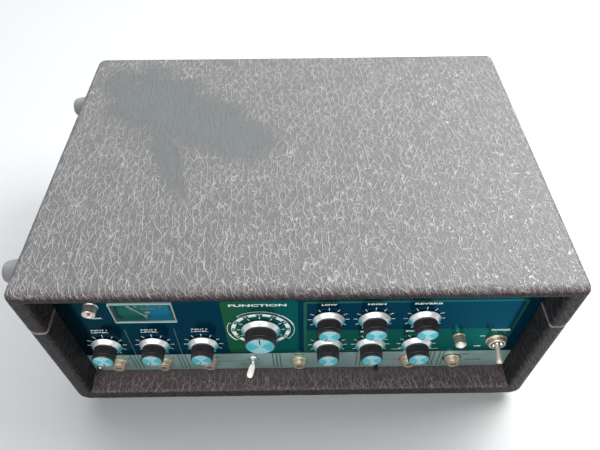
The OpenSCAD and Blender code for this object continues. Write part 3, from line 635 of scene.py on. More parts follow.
WALL_T = 15.5
LIP_R = 3.2                   # rounding of the edge towards the recess
RIM_R = 7.5                   # rounding of the edge towards the outside
LOW_R, HIGH_R = 12.0, 7.0     # corner radii of the case seen from the front
LINING_R = 1.5
SEAM_R = 2.0                  # rounding of the covering where base and lid meet
SEAM_GAP = 0.6                # how far each of them stops short of the seam
STEP, COARSE_STEP = 1.1, 6.0
RECESS_STEP, RECESS_ROWS = 2.1, 8     # finer rows of the lining near the front and the back
SOCKET_R, SOCKET_DEPTH, SOCKET_SIDES = 3.3, 9.5, 20     # holes in the base's rim that take the studs
CASE_SHARP = 60               # degrees between faces from which an edge of the covering is sharp
STUD_R = 3.0
half_w = base_high.x / MM
half_d = base_high.y / MM
low_z, high_z = base_low.z / MM, lid_high.z / MM
in_x = board_high.x / MM
floor_z = node_box("chassis")[0].z / MM
roof_z = board_high.z / MM
seam = seam_z / MM


def section(thick, inset):
    """The wall's cross section: distance from the lining and depth, all the way round."""
    lip, rim = LIP_R - inset, RIM_R - inset
    low, high = inset, thick - inset
    front = inset - half_d
    recess = [front + lip + RECESS_STEP * k for k in range(1, RECESS_ROWS + 1)]
    points = [(low, -y) for y in recess]
    points += [(low, y) for y in np.linspace(-recess[-1], recess[-1], 14)[1:-1]]
    points += [(low, y) for y in reversed(recess)]

    def arc(x, y, r, start, end, count):
        for a in np.radians(np.linspace(start, end, count)):
            points.append((x + r * math.cos(a), y + r * math.sin(a)))

    arc(low + lip, front + lip, lip, 180, 270, 5)
    face = np.linspace(low + lip, high - rim, 5)[1:-1]
    points.extend((x, front) for x in face)
    arc(high - rim, front + rim, rim, 270, 360, 8)
    points.extend((high, y) for y in np.linspace(front + rim, -front - rim, int(2 * half_d / STEP))[1:-1])
    arc(high - rim, -front - rim, rim, 0, 90, 8)
    points.extend((x, -front) for x in reversed(face))
    arc(low + lip, -front - lip, lip, 90, 180, 5)
    return points


def wall_run(lid):
    """Columns round the wall: a point of the outside, its partner on the lining, and the edge inset."""
    corner_r = HIGH_R if lid else LOW_R
    side = -1 if lid else 1                       # the lid starts at the left seam and the base at the right
    edge_z = high_z if lid else low_z
    lining_z = roof_z if lid else floor_z
    up = 1 if lid else -1
    rim_z = seam + up * SEAM_GAP
    columns = []

    def straight(a, b, inner_a, inner_b, step):
        count = max(2, round((Vector(b) - Vector(a)).length / step))
        for k in range(count):
            t = k / count
            columns.append((Vector(a).lerp(Vector(b), t), Vector(inner_a).lerp(Vector(inner_b), t), 0.0))

    def corner(sx, start, end):
        count = max(4, round(corner_r * math.pi / 2 / STEP))
        for k in range(count):
            a = math.radians(start + (end - start) * k / count)
            way = Vector((math.cos(a), math.sin(a)))
            outer = Vector((sx * (half_w - corner_r), edge_z - up * corner_r)) + way * corner_r
            inner = Vector((sx * (in_x - LINING_R), lining_z - up * LINING_R)) + way * LINING_R
            columns.append((outer, inner, 0.0))

    def seam_end(sx, order):
        for s in order:
            a = math.pi / 2 * s / 4
            z = rim_z + up * SEAM_R * (1 - math.cos(a))
            columns.append((Vector((sx * half_w, z)), Vector((sx * in_x, z)), SEAM_R * (1 - math.sin(a))))

    z0 = rim_z + up * SEAM_R
    z1, inner_z1 = edge_z - up * corner_r, lining_z - up * LINING_R
    seam_end(side, range(4))
    straight((side * half_w, z0), (side * half_w, z1), (side * in_x, z0), (side * in_x, inner_z1), STEP)
    corner(side, 90 - 90 * side, 90 * up)
    x1, inner_x1 = side * (half_w - corner_r), side * (in_x - LINING_R)
    straight((x1, edge_z), (-x1, edge_z), (inner_x1, lining_z), (-inner_x1, lining_z),
             STEP if lid else COARSE_STEP)
    corner(-side, 90 * up, 0 if lid else -180)
    straight((-side * half_w, z1), (-side * half_w, z0), (-side * in_x, inner_z1), (-side * in_x, z0), STEP)
    columns.append((Vector((-side * half_w, z0)), Vector((-side * in_x, z0)), 0.0))
    seam_end(-side, reversed(range(4)))
    return columns


def case_part(name, lid, sockets, body, replaced):
    """The base or the lid as one swept wall, with flat ends at the seam."""
    points = []
    columns = wall_run(lid)
    for outer, inner, inset in columns:
        across = outer - inner
        thick = across.length
        for s, y in section(thick, inset):
            spot = inner + across * (s / thick)
            points.append(Vector((spot.x, y, spot.y)))
    n = len(points) // len(columns)
    faces = tube_faces(len(columns), n)
    for c, side in ((0, -1 if lid else 1), (len(columns) - 1, 1 if lid else -1)):
        rim = list(range(c * n, c * n + n))
        if not sockets:
            faces.append(rim)
            continue
        lines, index = [[points[i] for i in rim]], list(rim)
        for y in sockets:
            hole = circle(SOCKET_R, SOCKET_SIDES, (side * (half_w - WALL_T / 2), y))
            start = len(points)
            points += [Vector((x, y, seam - depth)) for depth in (SEAM_GAP, SOCKET_DEPTH) for x, y in hole]
            top, deep = (list(range(start + m, start + m + SOCKET_SIDES)) for m in (0, SOCKET_SIDES))
            faces.append(deep)
            faces += [[start + i for i in face] for face in tube_faces(2, SOCKET_SIDES)]
            lines.append([points[i] for i in top])
            index += top
        for triangle in tessellate_polygon(lines):
            faces.append([index[i] for i in triangle])
    grow_grain(Build(name).add(points, faces, "vinyl").make(body, *replaced, sharp=CASE_SHARP))


def grow_grain(made):
    """Raises the vinyl's grain in the mesh itself, then makes that shape final."""
    group = bpy.data.node_groups.new("grain", "GeometryNodeTree")
    for way in ("INPUT", "OUTPUT"):
        group.interface.new_socket("Geometry", in_out=way, socket_type="NodeSocketGeometry")
    tree = Tree(group)
    start, end = tree.node("NodeGroupInput"), tree.node("NodeGroupOutput")
    place = tree.node("GeometryNodeInputPosition").outputs[0]
    height = tree.maths("SUBTRACT", hide_grain(tree, place, 1.9), 0.4)
    lift = tree.times(height, GRAIN_HEIGHT * MESH_SHARE)
    normal = tree.node("GeometryNodeInputNormal").outputs[0]
    shift = tree.node("ShaderNodeVectorMath", normal, operation="SCALE")
    tree.put(shift.inputs["Scale"], lift)
    move = tree.node("GeometryNodeSetPosition")
    tree.put(move.inputs["Geometry"], start.outputs[0])
    tree.put(move.inputs["Offset"], shift.outputs[0])
    tree.put(end.inputs[0], move.outputs[0])
    modifier = made.modifiers.new("grain", "NODES")
    modifier.node_group = group
    final = evaluated_mesh(made)
    made.modifiers.remove(modifier)
    made.data = final
    final.shade_smooth()
    final.set_sharp_from_angle(angle=math.radians(CASE_SHARP))


stud_y = node_box("catch_studs")[1].y / MM - STUD_R
case_part("case_covering", False, [-stud_y, stud_y], "case", ["case_base"])
case_part("lid_covering", True, [], "lid", ["lid"])

# ------------------------------------------------------------------ feet and handle


def rubber_foot(name, base_r, tip_r, height, sink, aim, places, body, node):
    """Feet of one kind: a cone with a rolled rim and a sunk hole for its screw."""
    build = Build(name)
    hole = 4.2
    profile = [(hole, height - sink), (2.0, height - sink), (2.0, 0.0), (base_r, 0.0), (base_r, 1.6),
               (base_r - 0.9, 2.2), (tip_r, height - 3.0), (tip_r - 1.0, height - 0.8),
               (tip_r - 2.6, height), (hole + 0.3, height), (hole, height - 0.6)]
    for place in places:
        build.lathe(profile, "foot_rubber", place, aim, soft=0.7, ring=True)
    return build.make(body, node)


base_feet_high = node_box("feet_base")[1]
lid_feet_low, lid_feet_high = node_box("feet_lid")
foot_h = base_low.z / MM
FLOOR_FOOT_R, SIDE_FOOT_R, SIDE_TIP_R = 11.0, 13.0, 9.0
SIDE_FOOT_H = (base_low.x - lid_feet_low.x) / MM
side_y = lid_feet_high.y / MM - SIDE_FOOT_R
floor_foot_x = base_feet_high.x / MM - FLOOR_FOOT_R
floor_foot_y = base_feet_high.y / MM - FLOOR_FOOT_R
lid_feet_z = (lid_feet_low.z + lid_feet_high.z) / 2 / MM
base_side_z = base_feet_high.z / MM - SIDE_FOOT_R
floor_places = [(sx * floor_foot_x, sy * floor_foot_y, foot_h) for sx in (-1, 1) for sy in (-1, 1)]
rubber_foot("floor_feet", FLOOR_FOOT_R, 10.0, foot_h, 3.5, "down", floor_places, "case", "feet_base")
for name, z, body, node in (("side_feet_low", base_side_z, "case", "feet_base"),
                            ("side_feet_high", lid_feet_z, "lid", "feet_lid")):
    side_places = [(-half_w, sy * side_y, z) for sy in (-1, 1)]
    rubber_foot(name, SIDE_FOOT_R, SIDE_TIP_R, SIDE_FOOT_H, 8.0, "left", side_places, body, node)

caps_low, caps_high = node_box("handle_caps")
grip_low, grip_high = node_box("handle_grip")
STRAP_T = 7.0
RIB_H, RIB_PITCH, RIBS_END = 0.9, 7.0, 46
cap_l, cap_w, cap_out = 34.0, (caps_high.z - caps_low.z) / MM, (caps_high.x - caps_low.x) / MM
cap_y = caps_high.y / MM - cap_l / 2
handle_z = middle("handle_grip").z / MM
strap_w = (grip_high.z - grip_low.z) / MM
caps = Build("handle_caps_pressed")
for side in (-1, 1):
    spot = (caps_low.x / MM, side * cap_y, handle_z)
    caps.pillow(cap_l, cap_w, 5.0, 0.0, cap_out, 3.2, "chrome", spot, "right")
    caps.pillow(cap_l + 3.0, cap_w + 3.0, 6.0, 0.0, 1.2, 0.6, "chrome", spot, "right")
caps.make("case", "handle_caps")


def strap_half(side):
    """Half of the carrying strap, from inside its cap to the middle of the ribbed grip."""
    wall = caps_low.x / MM
    rest = grip_low.x / MM + STRAP_T / 2
    cap_end = caps_high.y / MM - cap_l
    path = soften([(wall + 5.2, cap_end + 7), (wall + 5.4, cap_end - 1),
                   (rest, grip_high.y / MM - 3), (rest, 0.0)], 9.0, steps=9)
    fine = []
    for a, b in zip(path, path[1:]):
        count = max(1, round((b - a).length / 0.9))
        fine += [a.lerp(b, k / count) for k in range(count)]
    fine.append(path[-1])
    build = Build("strap_front" if side < 0 else "strap_back")
    points = []
    n = len(fine)
    for k, spot in enumerate(fine):
        way = (fine[min(k + 1, n - 1)] - fine[max(k - 1, 0)]).normalized()
        out = Vector((-way.y, way.x)) if way.y < 0 else Vector((way.y, -way.x))
        out = out if out.x > 0 else -out
        rib = RIB_H * (0.5 + 0.5 * math.cos(spot.y * 2 * math.pi / RIB_PITCH)) if spot.y < RIBS_END else 0.0
        for across, up in round_rect(STRAP_T, strap_w, 2.6, steps=4):
            lift = rib if across > 0 and abs(up) < strap_w / 2 - 2.0 else 0.0
            point = spot + out * (across + lift)
            points.append(Vector((point.x, side * point.y, handle_z + up)))
    build.tube(points, n, "strap")
    made = add_object(build.name, build.mesh(50))
    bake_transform(made)
    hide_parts("handle_grip", "handle_ends")


strap_half(-1)
strap_half(1)

# ------------------------------------------------------------------ knobs

KNOB_GAP, KNOB_L, BORE_R = 0.9, 16.2, 6.8
SHAFT_R, SHAFT_L = 3.0, 17.0
SMALL_SKIRT, SMALL_GRIP = 13.3, 9.6
MODE_SKIRT, MODE_GRIP = 16.5, 13.1
REST_ANGLE = {          # where each small knob points, in degrees from straight down, towards the left
    "knob_mic_1": 5, "knob_mic_2": 25, "knob_instrument": 19, "knob_bass": 28, "knob_treble": 36,
    "knob_reverb": 30, "knob_rate": 46, "knob_intensity": 23, "knob_echo": 30,
}


def knob_build(name, place, skirt, grip, flutes):
    """A knob on its own axis: spun skirt, fluted grip with a turned groove, and an inlaid metal cap."""
    build = Build(name, place)
    cap = grip - 1.3
    turns = flutes * 4
    build.lathe([(BORE_R, KNOB_GAP), (skirt - 0.2, KNOB_GAP), (skirt, KNOB_GAP + 0.8),
                 (skirt - 0.5, KNOB_GAP + 1.3), (grip + 0.9, 4.9), (grip - 0.6, 5.3), (BORE_R, 5.3)],
                "skirt", turns=96, soft=0.25, ring=True)
    build.lathe([(0.0, 4.9), (grip + 0.3, 4.9), (grip + 0.42, 5.4), (grip + 0.1, 6.0), (grip + 0.06, 12.2),
                 (grip, 12.7), (grip - 0.4, 12.95), (grip - 0.4, 13.3), (grip - 0.05, 13.6),
                 (grip - 0.15, KNOB_L - 1.0), (grip - 0.8, KNOB_L - 0.25), (cap + 0.1, KNOB_L - 0.25),
                 (cap + 0.1, KNOB_L - 0.9), (0.0, KNOB_L - 0.9)], "grip", turns=turns, soft=0.18,
                flutes=(flutes, 0.22, 5.9, 12.3))
    build.lathe([(0.0, KNOB_L - 1.0), (cap, KNOB_L - 1.0), (cap, KNOB_L - 0.12), (cap - 0.25, KNOB_L),
                 (0.0, KNOB_L)], "cap", turns=96, soft=0.08)
    shaft_end = KNOB_L - SHAFT_L
    return build.lathe([(0.0, shaft_end), (SHAFT_R, shaft_end), (SHAFT_R, 5.0), (0.0, 5.0)], "steel",
                       turns=24, soft=0.2)


def pointer_build(name, place, start, end, width):
    """An enamelled line on a knob's cap, drawn upwards."""
    build = Build(name, place)
    line = round_rect(width, end - start, 0.2, middle_at=(0, (start + end) / 2))
    return build.stack([(KNOB_L - 0.05, line), (KNOB_L + 0.06, line)], "black_ink")


small_mesh = pointer_mesh = None
for name, degrees in REST_ANGLE.items():
    spot = middle(name)
    place = (spot.x, face_y, spot.z)
    knob = knob_build(name + "_turned", place, SMALL_SKIRT, SMALL_GRIP, 72).make(name, name, data=small_mesh)
    small_mesh = knob.data
    line = pointer_build(name + "_pointer", (0, 0, 0), 3.1, 7.9, 0.85)
    line = line.make(name, data=pointer_mesh)
    pointer_mesh = line.data
    turned = Matrix.Rotation(math.radians(180 - degrees), 4, (0, -1, 0))
    line.matrix_world = Matrix.Translation(place) @ turned

mode_at = middle("knob_mode")
mode_place = (mode_at.x, face_y, mode_at.z)
knob_build("knob_mode_turned", mode_place, MODE_SKIRT, MODE_GRIP, 96).make("knob_mode", "knob_mode")
pointer_build("knob_mode_pointer", mode_place, 3.4, 11.7, 1.0).make("knob_mode")
mark = Build("knob_mode_index", mode_place)
mark.lathe([(0.0, 3.0), (0.75, 3.0), (0.75, 4.25), (0.0, 4.4)], "black_ink", (0, 0, MODE_SKIRT - 2.0),
           turns=20, soft=0.1).make("knob_mode")

# ------------------------------------------------------------------ nuts, lamps and screws


def across_up(spot):
    """A joint's or a mount's place as millimetres across and up."""
    return (spot["pos_m"][0] / MM, spot["pos_m"][2] / MM)


mounts = frame["record"]["mounts"]
FRONT_JACKS = [across_up(m) for m in mounts if m["name"].startswith("jack_")]
REAR_JACKS = [across_up(m) for m in mounts if m["name"].startswith("rear_jack_")]
SWITCHES = [across_up(joints[name]) for name in ("level_throw", "cancel_throw")]
POWER_AT = across_up(joints["power_throw"])
THREAD = [(4.2, 0.0), (7.4, 0.0), (7.4, 0.9), (6.9, 1.3), (6.4, 1.3), (6.4, 2.1), (5.6, 2.45), (6.2, 2.8),
          (6.2, 3.5), (5.3, 3.85), (5.7, 4.2), (5.7, 4.8), (5.2, 5.2), (4.2, 5.2)]
NOSE = [(3.3, 4.6), (4.8, 4.6), (4.8, 6.3), (4.4, 6.75), (3.7, 6.75), (3.3, 6.4)]

front_face, rear_face = face_y / MM, back_y / MM
dress = Build("jack_nuts")
for aim, y, spots in (("front", front_face, FRONT_JACKS), ("back", rear_face, REAR_JACKS)):
    for x, z in spots:
        dress.lathe(THREAD, "brass", (x, y, z), aim, turns=40, soft=0.22, ring=True)
        dress.lathe(NOSE, "brass", (x, y, z), aim, turns=40, soft=0.25, ring=True)
dress.make("case", "panel_nuts")


def on_front(spot):
    """A place across and up as a point on the front panel's face, in millimetres."""
    return (spot[0], front_face, spot[1])


def panel_spot(name):
    """The middle of a CAD node across and up, in millimetres."""
    spot = middle(name)
    return (spot.x / MM, spot.z / MM)


KNOB_NUT = (            # profile, material, sides, softness
    ([(3.6, 0.0), (6.3, 0.0), (6.3, 0.5), (3.6, 0.5)], "zinc", 32, 0.1),
    ([(3.6, 0.5), (5.4, 0.5), (5.4, 2.0), (5.0, 2.4), (3.6, 2.4)], "brass", 6, 0.0),
)
SWITCH_NUT = (
    ([(3.1, 0.0), (5.4, 0.0), (5.4, 0.5), (3.1, 0.5)], "steel", 32, 0.1),
    ([(3.1, 0.5), (4.6, 0.5), (4.6, 1.7), (4.2, 2.0), (3.1, 2.0)], "steel", 6, 0.0),
    ([(2.6, 2.0), (3.3, 2.0), (3.3, 4.0), (3.0, 4.4), (2.6, 4.3)], "steel", 32, 0.12),
)
small_nuts = Build("bush_nuts")
knob_spots = [panel_spot(name) for name in (*REST_ANGLE, "knob_mode")]
for spots, nut in ((knob_spots, KNOB_NUT), (SWITCHES, SWITCH_NUT)):
    for spot in spots:
        for profile, material, sides, soft in nut:
            small_nuts.lathe(profile, material, on_front(spot), turns=sides, soft=soft, ring=True)
small_nuts.make("case", sharp=30)

power_nut = Build("power_nut")
power_nut.lathe([(6.05, 0.0), (9.4, 0.0), (9.4, 1.0), (8.9, 1.5), (8.5, 1.6), (8.2, 2.4), (7.5, 4.8),
                 (7.1, 5.3), (6.05, 5.4)], "brass", on_front(POWER_AT), turns=64, soft=0.35, ring=True)
power_nut.lathe([(4.4, 5.02), (5.8, 5.02), (5.8, 5.2), (4.4, 5.2)], "black_plastic", on_front(POWER_AT),
                turns=64, ring=True)
power_nut.make("case")

peak_at, pilot_at = on_front(panel_spot("peak_lamp")), on_front(panel_spot("pilot_lamp"))
LAMPS = (               # piece, profile, material, place, sides, softness, ring, CAD nodes it stands for
    ("peak_bezel", [(0.0, 7.2), (1.3, 7.2), (3.4, 7.6), (4.3, 8.5), (5.0, 8.4), (5.3, 7.9), (5.3, 1.6),
                    (5.9, 1.2), (5.9, 0.0), (0.0, 0.0)], "satin", peak_at, 64, 0.3, False, ["peak_lamp"]),
    ("peak_lens", [(0.0, 7.1), (1.25, 7.1), (1.25, 7.9), (1.1, 8.4), (0.6, 8.8), (0.0, 8.9)],
     "lamp_red", peak_at, 32, 0.4, False, []),
    ("pilot_bezel", [(3.4, 0.0), (5.6, 0.0), (5.6, 0.7), (5.0, 1.0), (4.9, 8.3), (4.5, 9.0), (3.8, 9.2),
                     (3.4, 8.8)], "brass", pilot_at, 64, 0.3, True, ["pilot_lamp"]),
    ("pilot_jewel", [(0.0, 1.0), (3.35, 1.0), (3.35, 9.0), (3.0, 9.9), (1.9, 10.7), (0.0, 11.0)],
     "lamp_white", pilot_at, 40, 0.5, False, ["pilot_lens"]),
)
for name, profile, material, spot, sides, soft, ring, stands_for in LAMPS:
    Build(name).lathe(profile, material, spot, turns=sides, soft=soft, ring=ring).make("case", *stands_for)

SCREW_R = 3.0
REAR_SCREW_Z = (32.0, 130.0)
SCREW_HEAD = [(0.0, -6.0), (1.45, -6.0), (1.45, 0.0), (SCREW_R, 0.0), (SCREW_R, 0.5), (2.4, 1.25),
              (1.3, 1.6), (0.0, 1.65)]
screws = Build("panel_screw_heads")
screw_low, screw_high = node_box("panel_screws")
sx = screw_high.x / MM - SCREW_R
front_screws = [(x, screw_low.z / MM + SCREW_R) for x in (-sx, sx)]
rear_screws = [(x, z) for x in (-sx + 1.0, sx - 1.0) for z in REAR_SCREW_Z]
for aim, y, spots in (("front", front_face, front_screws), ("back", rear_face, rear_screws)):
    for x, z in spots:
        screws.lathe(SCREW_HEAD, "steel", (x, y, z), aim, turns=32, soft=0.35)
        for w, h in ((3.2, 0.55), (0.55, 3.2)):
            slot = round_rect(w, h, 0.1)
            screws.stack([(1.0, slot), (1.68, slot)], "black_ink", (x, y, z), aim)
screws.make("case", "panel_screws")

# ------------------------------------------------------------------ levers


def lean(degrees, axis):
    return Matrix.Rotation(math.radians(degrees), 4, axis)


LEVERS = (              # piece, joint, body and node, ball radius, material, lean at rest, profile
    ("power_bat", "power_throw", "power_toggle", 2.9, "aged_nickel", lean(22, "X"),
     [(0.0, 0.0), (1.9, 0.0), (1.8, 2.0), (2.1, 5.0), (2.75, 11.0), (3.1, 14.5), (2.9, 16.3), (1.7, 17.4),
      (0.0, 17.6)]),
    ("level_paddle", "level_throw", "level_lever", 1.55, "white_plastic", lean(-12, "Z"),
     [(0.0, 0.0), (1.2, 0.0), (1.25, 2.2), (2.2, 2.9), (2.7, 5.5), (2.9, 9.5), (2.9, 12.3), (2.3, 14.0),
      (1.1, 14.7), (0.0, 14.8)]),
    ("cancel_paddle", "cancel_throw", "cancel_lever", 1.55, "black_plastic", lean(-12, "Z"),
     [(0.0, 0.0), (1.1, 0.0), (1.05, 1.6), (1.5, 2.3), (1.9, 4.5), (2.0, 8.6), (1.6, 10.2), (0.7, 10.6),
      (0.0, 10.65)]),
)
for name, joint, body, ball, material, leaning, profile in LEVERS:
    build = Build(name)
    build.lathe(profile, material, soft=0.5, turns=40)
    slope = ball * 0.7
    build.lathe([(0.0, -ball), (slope, -slope), (ball, 0.0), (slope, slope), (0.0, ball)], "steel", soft=0.5,
                turns=32)
    build.make(body, body).matrix_world = Matrix.Translation(joints[joint]["pos_m"]) @ leaning

# ------------------------------------------------------------------ meter

lens_low, lens_high = node_box("vu_lens")
meter_w, meter_h = (lens_high.x - lens_low.x) / MM, (lens_high.z - lens_low.z) / MM
meter_mid = (lens_low + lens_high) / 2
meter_at = (meter_mid.x / MM, front_face, meter_mid.z / MM)
LENS_OUT, LENS_WALL = 1.6, 0.85
LINER_T, LINER_HIGH = 0.35, 0.9
Build("meter_window").pillow(meter_w - 0.1, meter_h - 0.1, 0.8, 1.0, LENS_OUT, 0.35, "acrylic",
                             meter_at).make("case", "vu_lens")


def bar(build, x0, z0, x1, z1, low, high, material):
    """A bar with softened edges on the meter, in millimetres from the meter's middle."""
    w, h = abs(x1 - x0), abs(z1 - z0)
    mid = ((x0 + x1) / 2, (z0 + z1) / 2)
    loop = round_rect(w, h, 0.25, middle_at=mid)
    build.stack([(low, loop), (high - 0.2, loop), (high, round_rect(w, h, 0.25, 0.2, middle_at=mid))],
                material, meter_at)


edge, edge_high = Build("meter_window_edge"), LENS_OUT + 0.12
out_w, out_h = meter_w / 2, meter_h / 2
wall_w, wall_h = out_w - LENS_WALL, out_h - LENS_WALL
for s in (-1, 1):
    bar(edge, -out_w, s * out_h, out_w, s * wall_h, 0.0, edge_high, "acrylic_edge")
    bar(edge, s * out_w, -wall_h, s * wall_w, wall_h, 0.0, edge_high, "acrylic_edge")
edge.make("case")
dial_low, dial_high = node_box("vu_dial")
liner_w, liner_h = (dial_high.x - dial_low.x) / 2 / MM, (dial_high.z - dial_low.z) / 2 / MM
dial_depth = dial_low.y / MM - front_face
liner = Build("meter_liner")
for s in (-1, 1):
    bar(liner, s * liner_w, -liner_h, s * (liner_w - LINER_T), liner_h, -dial_depth, LINER_HIGH, "dial")
    bar(liner, -liner_w, s * liner_h, liner_w, s * (liner_h - LINER_T), -dial_depth, LINER_HIGH, "dial")
liner.make("case")

# ------------------------------------------------------------------ printed panel


class Print:
    """One printed colour on a flat panel: thin solid shapes given in millimetres across and up."""

    def __init__(self, name, material, plane=None, aim="front"):
        self.name, self.material, self.aim = name, material, aim
        self.plane = face_y / MM if plane is None else plane
        self.work = bmesh.new()

    def take(self, curve, low, high, where=(0, 0), scale=(1, 1), turn=0.0):
        """Turns a curve into a solid from one height to another above the panel."""
        curve.extrude = 0.5
        holder = add_object("holder", curve)
        data = evaluated_mesh(holder)
        bpy.data.objects.remove(holder)
        flat = Matrix.Translation((*where, (low + high) / 2)) @ Matrix.Rotation(turn, 4, "Z")
        flat = flat @ Matrix.Diagonal((*scale, high - low, 1))
        out, across, up = (Vector(v) for v in AIMS[self.aim])
        stand = Matrix((across, up, out)).transposed().to_4x4()
        data.transform(Matrix.Translation((0, self.plane, 0)) @ stand @ flat)
        self.work.from_mesh(data)

    def shapes(self, loops, low=0.0, high=0.06):
        """Filled outlines. An outline inside another is a hole."""
        curve = bpy.data.curves.new("shape", "CURVE")
        curve.dimensions, curve.fill_mode = "2D", "BOTH"
        for loop in loops:
            line = curve.splines.new("POLY")
            line.points.add(len(loop) - 1)
            for point, (x, z) in zip(line.points, loop):
                point.co = (x, z, 0.0, 1.0)
            line.use_cyclic_u = True
        self.take(curve, low, high)
        return self

    def text(self, words, x, z, width, height, low=0.06, high=0.14, turn=0.0, weight=0.012):
        """Words centred on a point and stretched to a width and a height."""
        curve = bpy.data.curves.new("words", "FONT")
        curve.body = words
        curve.align_x, curve.align_y = "CENTER", "CENTER"
        curve.resolution_u = 3
        curve.offset = weight
        holder = add_object("measure", curve)
        spots = np.array([v.co for v in evaluated_mesh(holder).vertices])
        span, centre = np.ptp(spots, axis=0), (spots.max(0) + spots.min(0)) / 2
        bpy.data.objects.remove(holder)
        scale = (width / span[0], height / span[1])
        back = Matrix.Rotation(turn, 2) @ Vector((centre[0] * scale[0], centre[1] * scale[1]))
        self.take(curve, low, high, (x - back.x, z - back.y), scale, turn)
        return self

    def make(self):
        data = bpy.data.meshes.new(self.name)
        bmesh.ops.scale(self.work, vec=(MM, MM, MM), verts=self.work.verts)
        bmesh.ops.remove_doubles(self.work, verts=self.work.verts, dist=1e-7)
        bmesh.ops.recalc_face_normals(self.work, faces=self.work.faces)
        self.work.to_mesh(data)
        self.work.free()
        data.materials.clear()
        data.materials.append(MATERIALS[self.material])
        data.polygons.foreach_set("material_index", [0] * len(data.polygons))
        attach(add_object(self.name, data), "case")


def clock_spot(centre, radius, angle):
    """A point away from a centre. The angle is in degrees from straight up, clockwise."""
    a = math.radians(angle)
    return (centre[0] + radius * math.sin(a), centre[1] + radius * math.cos(a))


def band(centre, r_in, r_out, start, end):
    """Outline of a piece of a ring, between two such angles."""
    turn = list(np.linspace(start, end, max(2, int(abs(end - start) / 4))))
    return ([clock_spot(centre, r_out, a) for a in turn]
            + [clock_spot(centre, r_in, a) for a in reversed(turn)])


def tick(centre, r_in, r_out, angle, width):
    a = math.radians(angle)
    out, side = (math.sin(a), math.cos(a)), (math.cos(a) * width / 2, -math.sin(a) * width / 2)
    return [(centre[0] + out[0] * r + s * side[0], centre[1] + out[1] * r + s * side[1])
            for r, s in ((r_in, -1), (r_out, -1), (r_out, 1), (r_in, 1))]


def box_loop(x0, z0, x1, z1, radius=0.0, inset=0.0):
    if radius <= 0:
        return [(x0, z0), (x1, z0), (x1, z1), (x0, z1)]
    return round_rect(x1 - x0, z1 - z0, radius, inset, middle_at=((x0 + x1) / 2, (z0 + z1) / 2))


def line_loop(x0, z0, x1, z1, width):
    way = Vector((x1 - x0, z1 - z0)).normalized()
    side = Vector((-way.y, way.x)) * width / 2
    return [(x0 + side.x, z0 + side.y), (x0 - side.x, z0 - side.y),
            (x1 - side.x, z1 - side.y), (x1 + side.x, z1 + side.y)]


LINE_H = (0.06, 0.12)         # lines printed over the colour fields
THIN_H = (0.06, 0.10)         # lines printed on the strip
DIAL_H = (0.0, 0.05)          # print on the meter's dial
BUSH_HOLE, OUTLINE_W = 3.6, 2.6
KNOB_TICK_R = (13.6, 17.1)    # ticks round the small knobs, from their middle
MODE_TICK_R = (17.2, 20.2)    # round the mode knob: ticks, ring, numbers, and lines that group the places
RING_IN, RING_OUT = 21.4, 24.9
NUMBER_R, GROUP_R = 22.9, 28.2
JACK_RING_R = (7.2, 8.3)
ink_left, ink_right = panel_low.x / MM + 0.3, panel_high.x / MM - 0.3
strip_low, STRIP_HIGH = panel_low.z / MM + 0.1, 57.0
JACK_Z = FRONT_JACKS[0][1]
strip_holes = [circle(radius, sides, spot) for radius, sides, spots in (
    (4.9, 32, FRONT_JACKS), (3.1, 24, SWITCHES), (1.6, 16, front_screws)) for spot in spots]
strip_edge = box_loop(ink_left, strip_low, ink_right, STRIP_HIGH)
Print("strip_print", "strip").shapes([strip_edge] + strip_holes).make()

MODE_BOX = (-62.0, 59.2, -0.5, 144.0)
TONE_BOX = (4.0, 58.6, 182.0, 142.0)
TONE_SPLIT, TONE_CORNER = 97.3, 2.6
mode_spot = panel_spot("knob_mode")
Print("mode_field", "green").shapes([box_loop(*MODE_BOX, 3.2), circle(BUSH_HOLE, 24, mode_spot)]).make()
tone_rims = [box_loop(*TONE_BOX, TONE_CORNER, inset) for inset in (0.0, OUTLINE_W)]
Print("tone_outline", "outline").shapes(tone_rims).make()
left, bottom, right, top = (edge + OUTLINE_W * way for edge, way in zip(TONE_BOX, (1, 1, -1, -1)))
upper, lower = [[circle(BUSH_HOLE, 24, panel_spot("knob_" + n)) for n in row]
                for row in (("bass", "treble", "reverb"), ("rate", "intensity", "echo"))]
lower += [circle(6.1, 40, POWER_AT), circle(4.1, 32, (pilot_at[0], pilot_at[2]))]
Print("tone_field_upper", "blue").shapes([box_loop(left, TONE_SPLIT, right, top)] + upper).make()
Print("tone_field_lower", "green_tone").shapes([box_loop(left, bottom, right, TONE_SPLIT)] + lower).make()

ticks = Print("knob_ticks", "white_ink")
for spot in map(panel_spot, REST_ANGLE):
    for k in range(11):
        outer_end = KNOB_TICK_R[1] + 0.5 * (k % 5 == 0)
        ticks.shapes([tick(spot, KNOB_TICK_R[0], outer_end, 30 * k - 150, 0.62)], *LINE_H)

